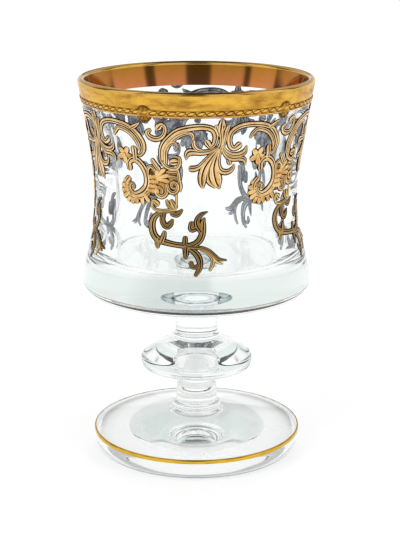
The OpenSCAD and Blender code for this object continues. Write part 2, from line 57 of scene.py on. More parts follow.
def low(name):
    """Height of a node's underside, in millimetres."""
    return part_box(name)[0].z / MM


def top(name):
    """Height of a node's top, in millimetres."""
    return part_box(name)[1].z / MM


def radius(name):
    """Largest radius of a node, in millimetres."""
    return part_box(name)[1].x / MM


# Sizes of the construction that its nodes' boxes don't give, in millimetres

# the gap between gilding and glass, and the thickness of plain gilding
GILT_GAP = 0.02
LEAF_T = 0.2
# the bowl's waist and base: how far in from the rim, and how far above the underside
WAIST_IN = 5.75
WAIST_H = 42.4
BASE_IN = 0.35
BASE_EDGE_H = 6.8
# the bowl's wall at its lip, its waist and its cavity's floor, and the floor
LIP_WALL = 2.2
WAIST_WALL = 7.05
BASE_WALL = 11.65
FLOOR_T = 15.2
# radii in the stem
NECK_R = 8.2
KNOP_FOOT_R = 7.1
LOWER_COLLAR_R = 9.4
# the foot: how far its base lies in from its edge, its edge's height, its crown and its hollow
FOOT_BASE_IN = 3.4
FOOT_EDGE_Z = 8
CROWN_R = 10.6
HOLLOW_R = 25
HOLLOW_DEPTH = 1.2
# how far the foot's gold line reaches in, and how far the ornament hangs under the band
FOOT_LINE_IN = 1
FIELD_H = 57

# Shares: the neck's flare under the bowl, the collar's seat on the knop, the cavity's corner and
# the height of its waist
NECK_FLARE = 1.1
COLLAR_SEAT = 0.97
FLOOR_CORNER_SHARE = 0.09
CAVITY_WAIST_SHARE = 0.356

# Places and radii that follow from them
BOWL_Z = low("bowl")
RIM_R = radius("bowl")
LIP_R = LIP_WALL / 2
LIP_Z = top("bowl") - LIP_R
WAIST_R = RIM_R - WAIST_IN
WAIST_Z = BOWL_Z + WAIST_H
BASE_R = RIM_R - BASE_IN
BASE_EDGE_Z = BOWL_Z + BASE_EDGE_H
FLOOR_Z = BOWL_Z + FLOOR_T
CAVITY_FLOOR_R = BASE_R - BASE_WALL
CAVITY_WAIST_R = WAIST_R - WAIST_WALL
CAVITY_WAIST_Z = FLOOR_Z + CAVITY_WAIST_SHARE * (LIP_Z - FLOOR_Z)
FLOOR_CORNER = FLOOR_CORNER_SHARE * CAVITY_FLOOR_R
FOOT_R = radius("foot")
FOOT_TOP = top("foot")
BAND_Z = low("outer_band")
INNER_BAND_Z = low("inner_band")

# Fineness of the turned pieces, and steps from one point of an outline to the next
GLASS_SEGMENTS = 192
RING_SEGMENTS = 240
WALL_STEPS = 4
STEM_STEPS = 5
LIP_STEPS = 16
LAYER_STEPS = 12


def between(a, b, share):
    return a + (b - a) * share


def smooth(points, steps):
    """A smooth curve through given points, each a tuple of numbers."""
    p = np.array(points, float)
    found = []
    for i in range(len(p) - 1):
        a, b, c, d = p[max(i - 1, 0)], p[i], p[i + 1], p[min(i + 2, len(p) - 1)]
        for s in range(steps):
            t = s / steps
            found.append(
                (2 * b + (c - a) * t + (2 * a - 5 * b + 4 * c - d) * t * t
                 + (3 * b - a - 3 * c + d) * t ** 3) / 2
            )
    found.append(p[-1])
    return [tuple(q) for q in found]


def arc(centre, r, start, end, steps):
    """Points of an arc in the (radius, height) plane, angles in degrees."""
    angles = [math.radians(between(start, end, i / steps)) for i in range(steps + 1)]
    return [(centre[0] + r * math.cos(a), centre[1] + r * math.sin(a)) for a in angles]


# The bowl's walls above and below the waist, as (share of the height, share of the change of radius)
UPPER_WALL = [
    (0, 0), (0.1, 0.02), (0.22, 0.085), (0.37, 0.225),
    (0.52, 0.39), (0.67, 0.57), (0.81, 0.75), (0.91, 0.885), (1, 1)
]
LOWER_WALL = [
    (1, 1), (0.95, 0.975), (0.85, 0.86), (0.7, 0.64),
    (0.55, 0.43), (0.4, 0.21), (0.25, 0.06), (0.1, 0.008)
]
CAVITY_UPPER = [
    (0, 0), (0.14, 0.05), (0.27, 0.15), (0.41, 0.3),
    (0.55, 0.47), (0.69, 0.66), (0.82, 0.82), (0.91, 0.915), (1, 1)
]
CAVITY_LOWER = [(0, 1), (0.25, 0.8), (0.5, 0.5), (0.75, 0.15)]
# The bowl's underside from the stem out, as (share of the base's radius, share of its edge's height)
UNDERSIDE = [(0.45, 0.06), (0.724, 0.18), (0.862, 0.34), (0.942, 0.53), (0.984, 0.8)]
# The foot's side from its base up to its edge, and its shoulder from the edge in to the crown
FOOT_EDGE = [(0, 0), (0.45, 0.08), (0.78, 0.25), (0.95, 0.48), (1, 0.72)]
SHOULDER = [(0, 0), (0.015, 0.06), (0.04, 0.1), (0.3, 0.36), (0.6, 0.66), (0.88, 0.92), (1, 1)]

WALL = smooth(
    [(between(WAIST_R, BASE_R, s[1]), between(WAIST_Z, BASE_EDGE_Z, s[0])) for s in LOWER_WALL]
    + [(between(WAIST_R, RIM_R, s[1]), between(WAIST_Z, LIP_Z, s[0])) for s in UPPER_WALL],
    WALL_STEPS)
CAVITY = smooth(
    [(between(CAVITY_WAIST_R, CAVITY_FLOOR_R, s[1]),
      between(FLOOR_Z + FLOOR_CORNER, CAVITY_WAIST_Z, s[0])) for s in CAVITY_LOWER]
    + [(between(CAVITY_WAIST_R, RIM_R - LIP_WALL, s[1]),
        between(CAVITY_WAIST_Z, LIP_Z, s[0])) for s in CAVITY_UPPER],
    WALL_STEPS)
WALL_Z = [p[1] for p in WALL]
WALL_R = [p[0] for p in WALL]
FOOT_SIDE = [(min(p[0], FOOT_R), p[1]) for p in smooth(
    [(between(FOOT_R - FOOT_BASE_IN, FOOT_R, s[0]), s[1] * FOOT_EDGE_Z) for s in FOOT_EDGE]
    + [(between(FOOT_R, CROWN_R, s[0]), between(FOOT_EDGE_Z, FOOT_TOP, s[1])) for s in SHOULDER],
    WALL_STEPS)]


def wall_radius(z):
    return np.interp(z, WALL_Z, WALL_R)


def cavity_radius(z):
    return np.interp(z, [p[1] for p in CAVITY], [p[0] for p in CAVITY])


# Materials

def linear(hex_colour):
    """An sRGB hex colour as linear RGBA."""
    parts = [int(hex_colour[i:i + 2], 16) / 255 for i in (0, 2, 4)]
    return tuple(p / 12.92 if p <= 0.04045 else ((p + 0.055) / 1.055) ** 2.4 for p in parts) + (1,)


def grey(level):
    """A linear grey as RGBA, from 0, black, to 1, white."""
    return (level, level, level, 1)


def fill(tree, target, inputs):
    """Fills a node's inputs: a socket is linked, and any other value is set."""
    for socket, value in inputs.items():
        if isinstance(value, bpy.types.NodeSocket):
            tree.links.new(value, target.inputs[socket])
        else:
            target.inputs[socket].default_value = value


def node(tree, kind, inputs=None, stops=None, **settings):
    """Adds a shader node with its settings and links.

    Stops are a colour ramp's, as (place, colour), and none of them may lie at 0 or 1."""
    new = tree.nodes.new("ShaderNode" + kind)
    for name, value in settings.items():
        setattr(new, name, value)
    for place, colour in stops or []:
        new.color_ramp.elements.new(place).color = colour
    if stops:
        new.color_ramp.elements.remove(new.color_ramp.elements[0])
        new.color_ramp.elements.remove(new.color_ramp.elements[-1])
    fill(tree, new, inputs or {})
    return new


def new_tree(name):
    """A new material and its node tree."""
    material = bpy.data.materials.new(name)
    material.use_nodes = True
    return material, material.node_tree


def new_material(name):
    """A material with its node tree, its principled shader and its object coordinates."""
    material, tree = new_tree(name)
    places = node(tree, "TexCoord").outputs["Object"]
    return material, tree, tree.nodes["Principled BSDF"], places


def show(tree, shader):
    """Gives a material another shader in place of the principled one."""
    tree.nodes.remove(tree.nodes["Principled BSDF"])
    tree.links.new(shader.outputs[0], tree.nodes["Material Output"].inputs["Surface"])


def uneven(tree, shader, places, size, depth, detail, strength=1):
    """Roughens a surface with waves or grains of a real size and depth, in millimetres."""
    noise = node(tree, "TexNoise", {"Vector": places, "Scale": 1 / (size * MM), "Detail": detail})
    bump = node(tree, "Bump", {
        "Height": noise.outputs["Fac"], "Distance": depth * MM, "Strength": strength})
    fill(tree, shader, {"Normal": bump.outputs["Normal"]})


def clouded(tree, places, size, detail, full_from, colour, second):
    """Lays a second colour over the first in soft clouds, of a size in millimetres."""
    clouds = node(tree, "TexNoise", {
        "Vector": places, "Scale": 1 / (size * MM), "Detail": detail, "Roughness": 0.6})
    share = node(tree, "MapRange", {
        "Value": clouds.outputs["Fac"], "From Min": 0.42, "From Max": full_from})
    return node(tree, "Mix", {
        "Factor": share.outputs["Result"], 6: linear(colour), 7: linear(second)},
        data_type="RGBA").outputs[2]


def inked(tree, colour, line):
    """Lays a line's colour over another one where the mesh's ink is 1, in its cut lines."""
    ink = node(tree, "Attribute", attribute_name="ink").outputs["Fac"]
    both = node(tree, "Mix", {"Factor": ink, 6: colour, 7: linear(line)}, data_type="RGBA")
    return both.outputs[2], ink


def clear_glass():
    """Soda-lime glass, worked hot and fire polished.

    The eye sees hard bright edges, a faint cool green in the thick parts, and a slow waviness
    from the tools that bends what is seen through it."""
    material, tree, shader, places = new_material("clear_glass")
    fill(tree, shader, {
        "Base Color": linear("FCFEFD"), "Roughness": 0, "IOR": 1.52, "Transmission Weight": 1})
    uneven(tree, shader, places, 14, 0.12, detail=1, strength=0.6)
    return material


def fused_joint():
    """Glass joined hot: the joint has no surface, so it shows nothing at all."""
    material, tree = new_tree("fused_joint")
    show(tree, node(tree, "BsdfTransparent"))
    return material


def painted_shade_joint():
    """The joint of bowl and stem, tinted with painted shade: swirled rings of dark and grey stand
    in for the dark room that the glass round the stem's top bends into view."""
    # how far out the painted shade rings lie, and how far swirls of the same size push them
    reach = 12 * MM
    swirl = 3 * MM
    material, tree = new_tree("painted_shade_joint")
    places = node(tree, "TexCoord").outputs["Object"]
    flat = node(tree, "VectorMath", {0: places, 1: (1, 1, 0)}, operation="MULTIPLY")
    out = node(tree, "VectorMath", {0: flat.outputs[0]}, operation="LENGTH")
    swirls = node(tree, "TexNoise", {
        "Vector": flat.outputs[0], "Scale": 1 / swirl, "Detail": 3, "Distortion": 1.5})
    pushed = node(tree, "Math", {0: swirls.outputs["Fac"], 1: swirl, 2: out.outputs["Value"]},
                  operation="MULTIPLY_ADD")
    share = node(tree, "MapRange", {"Value": pushed.outputs[0], "From Max": reach})
    # painted shade: rings of dark and grey in the joint's tint
    painted_rings = node(tree, "ValToRGB", {"Fac": share.outputs["Result"]}, stops=[
        (0.34, (0.92, 0.95, 0.94, 1)), (0.44, (0.6, 0.65, 0.65, 1)), (0.52, (0.84, 0.88, 0.88, 1)),
        (0.61, (0.12, 0.16, 0.18, 1)), (0.67, (0.78, 0.82, 0.82, 1)), (0.76, (0.8, 0.84, 0.84, 1)),
        (0.84, (0.55, 0.6, 0.62, 1)), (0.9, (0.8, 0.84, 0.84, 1))])
    show(tree, node(tree, "BsdfTransparent", {"Color": painted_rings.outputs["Color"]}))
    return material


# how much shorter a blotch of tarnish and painted shade is up the wall than round it
BRUSHED = 3


def gold_finish(name, colour, tarnish_and_shade, roughness, tarnish_and_shade_size, grain_size, tarnish_and_shade_share=0.5,
                grain_depth=0.01):
    """Fired bright gold: a base colour, darker blotches and a fine brushed grain.

    The blotches are partly tarnish and partly painted shade: dark reflections of the room, laid
    into the colour. They run round the goblet, the way the gold was brushed on and burnished."""
    material, tree, shader, places = new_material(name)
    brushed = node(tree, "Mapping", {"Vector": places, "Scale": (1, 1, BRUSHED)})
    tarnish_and_shade_noise = node(tree, "TexNoise", {
        "Vector": brushed.outputs["Vector"], "Scale": 1 / (tarnish_and_shade_size * MM),
        "Detail": 5, "Roughness": 0.65}).outputs["Fac"]
    # share of the darker colour: partly tarnish, partly painted shade
    amount = node(tree, "MapRange", {
        "Value": tarnish_and_shade_noise, "From Min": 0.4, "From Max": 0.68, "To Min": 0, "To Max": tarnish_and_shade_share})
    mixed = node(tree, "Mix", {
        "Factor": amount.outputs["Result"], 6: linear(colour), 7: linear(tarnish_and_shade)},
        data_type="RGBA")
    rough = node(tree, "MapRange", {
        "Value": tarnish_and_shade_noise, "From Min": 0.3, "From Max": 0.7,
        "To Min": roughness * 0.85, "To Max": roughness * 1.2})
    fill(tree, shader, {
        "Base Color": mixed.outputs[2], "Metallic": 1, "Roughness": rough.outputs["Result"]})
    uneven(tree, shader, places, grain_size, grain_depth, detail=2)
    return material


def engraved_finish(name, colour, patch, pale_gold_and_highlight, line, roughness):
    """Raised gilding, chased: gold on the high parts, dark in the cut lines.

    The mesh carries two attributes: ink is 1 in a cut line and 0 on the polished gold, and the
    other is the share of a third colour there: a pale gold painted as a highlight beside the cuts,
    and on the pendant also the gold left on its strokes. A second colour lies on it in patches of
    wear."""
    material, tree, shader, places = new_material(name)
    worn = clouded(tree, places, 4, 4, 0.6, colour, patch)
    tone = node(tree, "Attribute", attribute_name="tone")
    # the third colour: a pale gold painted as a highlight, and the pendant's golden strokes
    golds = node(tree, "Mix", {"Factor": tone.outputs["Fac"], 6: worn, 7: linear(pale_gold_and_highlight)},
                 data_type="RGBA")
    cut, ink = inked(tree, golds.outputs[2], line)
    rough = node(tree, "MapRange", {"Value": ink, "To Min": roughness, "To Max": 0.8})
    fill(tree, shader, {"Base Color": cut, "Metallic": 1, "Roughness": rough.outputs["Result"]})
    uneven(tree, shader, places, 0.5, 0.018, detail=3)
    return material


def gilding_back(name, dark, light, line):
    """The side of the gilding that lies on the glass, seen only through the glass.

    It is the ground under the gold: slate grey to lilac in clouds, with the cut lines darker.
    Its palest clouds are partly painted highlights."""
    material, tree, shader, places = new_material(name)
    # the pale clouds are partly the ground's colour and partly painted highlights
    ground, _ = inked(tree, clouded(tree, places, 3.4, 3, 0.58, dark, light), line)
    fill(tree, shader, {"Base Color": ground, "Metallic": 0.4, "Roughness": 0.35})
    return material


def mirror_copper():
    """Bright copper-coloured gold inside the rim: smooth enough to mirror the room, golden brown
    at its top and pinker where it was laid thin at its foot."""
    # pink up to the first height, brown from the second, and pushed up and down by clouds
    pink_to = (INNER_BAND_Z + 3.5) * MM
    brown_from = (INNER_BAND_Z + 11) * MM
    cloud = 7 * MM
    material, tree, shader, places = new_material("inner_copper_gold")
    height = node(tree, "SeparateXYZ", {0: places}).outputs["Z"]
    clouds = node(tree, "TexNoise", {
        "Vector": places, "Scale": 1 / cloud, "Detail": 4, "Roughness": 0.6})
    shifted = node(tree, "Math", {0: clouds.outputs["Fac"], 1: cloud, 2: height},
                   operation="MULTIPLY_ADD")
    share = node(tree, "MapRange", {
        "Value": shifted.outputs[0], "From Min": pink_to, "From Max": brown_from})
    mixed = node(tree, "Mix", {
        "Factor": share.outputs["Result"], 6: linear("CE8050"), 7: linear("B0762A")},
        data_type="RGBA")
    fill(tree, shader, {"Base Color": mixed.outputs[2], "Metallic": 1, "Roughness": 0.1})
    uneven(tree, shader, places, 0.6, 0.004, detail=2)
    return material


GLASS = clear_glass()
JOINT = fused_joint()
# the joint under the bowl is tinted with painted shade rings
PAINTED_SHADE_JOINT = painted_shade_joint()
# the wide band was rubbed with sand to a satin; its brown blotches are a bloom and painted shade
BAND_GOLD = gold_finish("satin_gold", "E8B64A", "8E5A24", 0.34, 10, 0.35, 0.8)
# the lip was burnished with agate
LIP_GOLD = gold_finish("bright_gold", "E8BC62", "B88238", 0.14, 6, 0.4, 0.4)
INNER_COPPER = mirror_copper()
# the foot's line was drawn with a brush on the turning glass, and fired bright
FOOT_GOLD = gold_finish("foot_gold", "E6B83C", "A87818", 0.06, 5, 0.4, 0.5, 0.004)
# the scrollwork is the palest gold, the chain and the rosettes are yellower, and the pendant's
# gold is worn through to bronze
# the third colour of each is a pale gold painted as a highlight
RAISED_GOLD = engraved_finish("raised_gold", "F0C684", "CE9850", "FFF3D2", "2E1808", 0.24)
CHAIN_GOLD = engraved_finish("chain_gold", "E2AE48", "C08834", "EEC274", "3A1C0A", 0.3)
ROSETTE_GOLD = engraved_finish("rosette_gold", "BE8E38", "9A6C2A", "E8C67E", "2A1808", 0.3)
PENDANT_GOLD = engraved_finish("pendant_bronze", "7A4E22", "3E2410", "FFD890", "140A04", 0.3)
BACK = gilding_back("gilding_back", "424C68", "E8E6F6", "2A2E3C")


# Turned pieces

def turned(name, outline, segments, finish, joint_heights=(), joint=None, smooth_angle=40):
    """A closed piece, spun round the axis from its closed outline of (radius, height)."""
    bpy.ops.object.select_all(action="DESELECT")
    bpy.ops.mesh.primitive_circle_add(vertices=len(outline), radius=outline[1][0] * MM)
    piece = bpy.context.object
    piece.name = piece.data.name = name
    for vertex, (r, z) in zip(piece.data.vertices, outline):
        vertex.co = (0, -r * MM, z * MM)
    bpy.ops.object.mode_set(mode="EDIT")
    bpy.ops.mesh.select_all(action="SELECT")
    bpy.ops.mesh.spin(steps=segments, angle=math.tau, center=(0, 0, 0), axis=(0, 0, 1))
    close_skin()
    piece.data.materials.append(finish)
    if joint_heights:
        piece.data.materials.append(joint)
        for face in piece.data.polygons:
            flat = abs(face.normal.z) > 0.9999
            if flat and any(abs(face.center.z / MM - z) < 0.001 for z in joint_heights):
                face.material_index = 1
    bpy.ops.object.shade_smooth_by_angle(angle=math.radians(smooth_angle))
    sharpen_joints(piece)
    return piece


def close_skin():
    """Closes the seams and poles of the mesh in edit mode, and turns its faces outwards."""
    bpy.ops.mesh.select_all(action="SELECT")
    bpy.ops.mesh.remove_doubles(threshold=0.001 * MM)
    bpy.ops.mesh.delete_loose()
    bpy.ops.mesh.select_all(action="SELECT")
    bpy.ops.mesh.normals_make_consistent(inside=False)
    bpy.ops.object.mode_set(mode="OBJECT")


def sharpen_joints(piece):
    """Keeps the shading of a side apart from the joint face that it meets."""
    sides = {}
    for face in piece.data.polygons:
        for key in face.edge_keys:
            sides.setdefault(key, set()).add(face.material_index)
    for edge in piece.data.edges:
        if len(sides.get(edge.key, ())) > 1:
            edge.use_edge_sharp = True


def settle(piece, node_name):
    """The piece rides on the goblet and stands for this node of the construction."""
    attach(piece, BODY)
    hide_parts(node_name)


def glass_piece(name, outline, joint_heights, joint=JOINT):
    piece = turned(name + "_glass", outline, GLASS_SEGMENTS, GLASS, joint_heights, joint)
    settle(piece, name)


def stem_piece(name, r, shares):
    """A piece of the stem, from shares of a radius and of its height, joined above and below."""
    z = low(name)
    h = top(name) - z
    side = smooth([(s[0] * r, z + s[1] * h) for s in shares], STEM_STEPS)
    glass_piece(name, [(0, z)] + side + [(0, z + h)], (z, z + h))


def make_bowl():
    underside = smooth(
        [(NECK_R * NECK_FLARE, BOWL_Z)]
        + [(s[0] * BASE_R, BOWL_Z + s[1] * (BASE_EDGE_Z - BOWL_Z)) for s in UNDERSIDE]
        + [WALL[0]], WALL_STEPS)
    lip = arc((RIM_R - LIP_R, LIP_Z), LIP_R, 0, 180, LIP_STEPS)
    corner = arc((CAVITY_FLOOR_R - FLOOR_CORNER, FLOOR_Z + FLOOR_CORNER), FLOOR_CORNER, 0, -90, 8)
    outline = ([(0, BOWL_Z)] + underside[:-1] + WALL[:-1] + lip + CAVITY[::-1][1:] + corner[1:]
               + [(0, FLOOR_Z)])
    glass_piece("bowl", outline, [BOWL_Z], PAINTED_SHADE_JOINT)


def make_stem():
    collar_r = radius("upper_collar")
    knop_r = radius("knop")
    neck_r = radius("lower_neck")
    stem_piece("upper_neck", NECK_R, [
        (1, 0), (0.985, 0.3), (0.985, 0.7), (1.02, 0.88), (NECK_FLARE, 1)])
    stem_piece("upper_collar", collar_r, [
        (COLLAR_SEAT, 0), (1, 0.2), (1, 0.45), (0.97, 0.75), (NECK_R / collar_r, 1)])
    stem_piece("knop", knop_r, [
        (KNOP_FOOT_R / knop_r, 0), (0.65, 0.1), (0.94, 0.235), (0.985, 0.335), (1, 0.43),
        (0.99, 0.5), (0.95, 0.58), (0.84, 0.7), (0.7, 0.81), (0.56, 0.9),
        (COLLAR_SEAT * collar_r / knop_r, 1)])
    waist = KNOP_FOOT_R / neck_r
    stem_piece("lower_neck", neck_r, [(1, 0), (1, 0.6), (0.97, 0.7), (waist, 0.8), (waist, 1)])
    stem_piece("lower_collar", LOWER_COLLAR_R, [
        (CROWN_R / LOWER_COLLAR_R, 0), (1.06, 0.12), (1.02, 0.25), (0.975, 0.42), (1, 0.62),
        (0.96, 0.84), (0.87, 1)])


def make_foot():
    """A low dome, with a ball-shaped hollow ground out under it."""
    ball_r = (HOLLOW_R ** 2 + HOLLOW_DEPTH ** 2) / (2 * HOLLOW_DEPTH)
    steps = 16
    hollow = []
    for i in range(steps + 1):
        r = HOLLOW_R * i / steps
        hollow.append((r, HOLLOW_DEPTH - ball_r + math.sqrt(ball_r ** 2 - r ** 2)))
    glass_piece("foot", hollow + FOOT_SIDE + [(0, FOOT_TOP)], [FOOT_TOP])


# Plain gold

def ring(name, outline, finish, node_name):
    """A ring of gold from its closed outline."""
    piece = turned(name, outline, RING_SEGMENTS, finish, smooth_angle=60)
    settle(piece, node_name)
    return piece


def layer_outline(low_z, radius_at, inner, outer):
    """Outline of a thin layer on a wall, up to the lip, from a function of the wall's radius."""
    heights = [between(low_z, LIP_Z, i / LAYER_STEPS) for i in range(LAYER_STEPS + 1)]
    return ([(radius_at(z) + inner, z) for z in heights]
            + [(radius_at(z) + outer, z) for z in reversed(heights)])


def make_plain_gold():
    band = layer_outline(BAND_Z, wall_radius, GILT_GAP, GILT_GAP + LEAF_T)
    ring("satin_band", band, BAND_GOLD, "outer_band")
    centre = (RIM_R - LIP_R, LIP_Z)
    outer = arc(centre, LIP_R + GILT_GAP + LEAF_T, 0, 180, LIP_STEPS)
    inner = arc(centre, LIP_R + GILT_GAP, 180, 0, LIP_STEPS)
    ring("lip_gold", outer + inner, LIP_GOLD, "lip_band")
    band = layer_outline(INNER_BAND_Z, cavity_radius, -GILT_GAP, -GILT_GAP - LEAF_T)
    ring("inner_gold", band, INNER_COPPER, "inner_band")
    bead = between(low("band_line"), top("band_line"), 0.5)
    half = (top("band_line") - low("band_line")) / 2
    on_band = float(wall_radius(bead)) + GILT_GAP + LEAF_T
    round_side = arc((on_band, bead), half, -75, 75, 6)
    outline = [(on_band, bead - half)] + round_side + [(on_band, bead + half)]
    ring("line_gold", outline, LIP_GOLD, "band_line")
    line = ring("foot_gold", foot_line_outline(), FOOT_GOLD, "foot_line")
    line.data.materials.append(BACK)
    for face in line.data.polygons:
        out = math.hypot(face.center.x, face.center.y)
        facing = (face.normal.x * face.center.x + face.normal.y * face.center.y) / out
        # the side that lies on the glass
        if facing + face.normal.z < 0:
            face.material_index = 1


def foot_line_outline():
    """The gold line lies on the foot's side and over its shoulder, fullest at its middle."""
    line_z = low("foot_line") + GILT_GAP
    inner_r = FOOT_R - FOOT_LINE_IN
    path = [(FOOT_R, line_z)] + [p for p in FOOT_SIDE if p[1] > line_z and p[0] > inner_r]
    count = len(path)
    full = [LEAF_T * between(0.4, 1, math.sin(math.pi * i / (count - 1))) for i in range(count)]
    inside = moved_out(path, [GILT_GAP] * count)
    outside = moved_out(path, [GILT_GAP + t for t in full])
    return inside + outside[::-1]


def moved_out(path, distances):
    """A path of (radius, height) moved out of the glass, square to itself."""
    places = np.array(path)
    along = np.gradient(places, axis=0)
    along /= np.linalg.norm(along, axis=1)[:, None]
    return [(p[0] + d * a[1], p[1] - d * a[0]) for p, a, d in zip(places, along, distances)]


# Raised gilding, drawn on a squared draft of one repeat. A column is a 72nd of the repeat's angle,
# counted from the goblet's front, and a row is a millimetre, counted up from just under the lowest
# leaf. Each place is (column, row, width of the stroke there).

REPEATS = 5
COLUMNS = 72
COLUMN_ANGLE = math.tau / REPEATS / COLUMNS
FIELD_Z = BAND_Z - FIELD_H
ROSETTE_PLACE = (-25.2, 57.9)
ROSETTE_R = 3.1

PALMETTE = [
    [[9.6, 53.6, 1.9], [10.4, 52.2, 2], [11.4, 50.6, 1.5]],
    [[15.3, 53.4, 1.7], [14.6, 51.8, 1.9], [14, 49, 1.7], [13.2, 46.6, 1.5]],
    [[12.3, 55.2, 2.6], [12.2, 53.8, 3.4], [11.9, 52, 2.5], [12.2, 50.4, 1.9], [12.3, 48.2, 1.8],
     [11.7, 46.2, 2.5]],
    [[10.4, 45.4, 1.6], [7, 42, 2.6], [4.4, 39, 3.4], [3.1, 36, 3.5], [3, 33.4, 2.9],
     [3.2, 32.2, 1.7]],
    [[11, 45.4, 1.6], [8.6, 42.2, 2.5], [6.8, 38.8, 2.9], [6.3, 36, 3.1], [7.3, 33.8, 2.9],
     [9.4, 32.2, 1.8]],
    [[11.4, 45.2, 1.6], [9.8, 41.8, 2.9], [9.1, 38.6, 4], [9.7, 35.8, 4.7], [10.7, 33.4, 4.2],
     [12.1, 31.5, 1.2]],
    [[10.6, 46, 1.1], [6.6, 43.2, 1.6], [3.6, 40.9, 1.8], [1.4, 39.4, 2], [-0.8, 38.7, 2.5],
     [-2.2, 38.6, 2.6]],
    [[12, 45.6, 1.5], [11.1, 42.6, 1.8], [11, 40, 2.2], [12.1, 38, 2.5], [14.4, 37.2, 2.5],
     [17, 37.4, 2.2], [18.8, 38.5, 1.7], [19.4, 39.6, 0.9]],
    [[10.2, 46.2, 1.5], [6.6, 44.9, 2.1], [2.4, 44.5, 2.4], [-1.2, 44.7, 2.6], [-3.6, 44.5, 3.1],
     [-4.8, 43.4, 2.1], [-5.1, 42, 0.7]],
    [[2.6, 45.2, 1.5], [0.2, 45.8, 1.8], [-1.2, 47.2, 1.9], [-1, 48.6, 1]],
    [[12.8, 46.6, 1.3], [15, 44.6, 1.7], [18.4, 43.4, 2], [22, 43.3, 2.4], [24.6, 44.2, 2.4],
     [25.6, 46.1, 0.8]],
    [[12.8, 45.4, 1.2], [15.4, 42.9, 1.9], [18.4, 41.9, 2.2], [22, 41.9, 2.4], [24.8, 41.2, 2.1],
     [25.7, 39.4, 0.7]],
    [[16.2, 42.2, 1.8], [16.9, 40.6, 2.1]]
]
LEFT_SCROLL = [
    [[5.5, 47.9, 2.8], [7, 46.6, 2], [8.8, 47.8, 2.2], [9.3, 50.6, 2.5], [7.6, 52.8, 2.5],
     [4, 53.6, 2.6], [0, 53.6, 2.7], [-5, 53, 2.8], [-9.5, 51.9, 2.7], [-13.2, 49.8, 2.6],
     [-16.2, 47.3, 2.6], [-17.7, 44.6, 2.4], [-17.8, 42, 2.2], [-17.2, 40, 1.9]],
    [[-1.6, 49.4, 0.9], [-1.9, 50.8, 1.8], [-3.8, 51.5, 1.7], [-7.2, 50.9, 1.7], [-10.6, 49.3, 1.8],
     [-13.6, 47.1, 2], [-15.4, 44.6, 2.1], [-15.7, 42, 2], [-15.9, 40.2, 1.8]],
    [[-14.8, 45.8, 1.3], [-13, 47.4, 1.7], [-10.8, 47.9, 1.6], [-9.3, 46.8, 0.9]],
    [[-17.2, 40.6, 1.8], [-15.4, 39.2, 1.8], [-12.6, 38.5, 1.7], [-9.8, 38.8, 1.7], [-8.4, 40.6, 1.6],
     [-8.6, 42.5, 1.3], [-10.6, 43, 1]],
    [[-11.7, 40.9, 3], [-10.7, 41, 3]]
]
RIGHT_SCROLL = [
    [[21.3, 46.6, 2.9], [19, 45.6, 2.2], [17, 46.6, 2.4], [16.2, 49.2, 2.4], [17.4, 51.7, 2.4],
     [20.5, 53.3, 2.4], [25, 54, 2.4], [30, 53.9, 2.4], [35, 53.3, 2.4], [39.4, 52, 2.4],
     [42.6, 49.8, 2.5], [44.6, 47.2, 2.5], [44.7, 44.8, 2.2], [43, 43, 1.8], [41.2, 42.6, 1.5],
     [39.9, 43.3, 1.3]],
    [[27.4, 49.4, 1.3], [28.6, 50.6, 2], [30.8, 51.9, 1.9], [34.4, 51.6, 1.9], [38.2, 50.2, 2],
     [41, 48, 2.1], [42.3, 45.8, 1.8], [42.2, 44.4, 1.1]],
    [[38.8, 52.4, 2], [41.6, 53.4, 1.8], [43.6, 54.4, 0.7]],
    [[39.2, 44.5, 2.9], [39.3, 42.6, 2.5], [39.2, 40.9, 2.6]]
]
COMMA = [
    [[-18.1, 53.5, 3], [-16.6, 54.4, 1.7], [-15.2, 53.3, 1.8], [-15.4, 51.4, 1.9], [-17.4, 49.6, 2],
     [-20.4, 49, 2.4], [-23.3, 49.7, 2.4], [-24.5, 51.2, 2], [-23.2, 52, 1.8]]
]
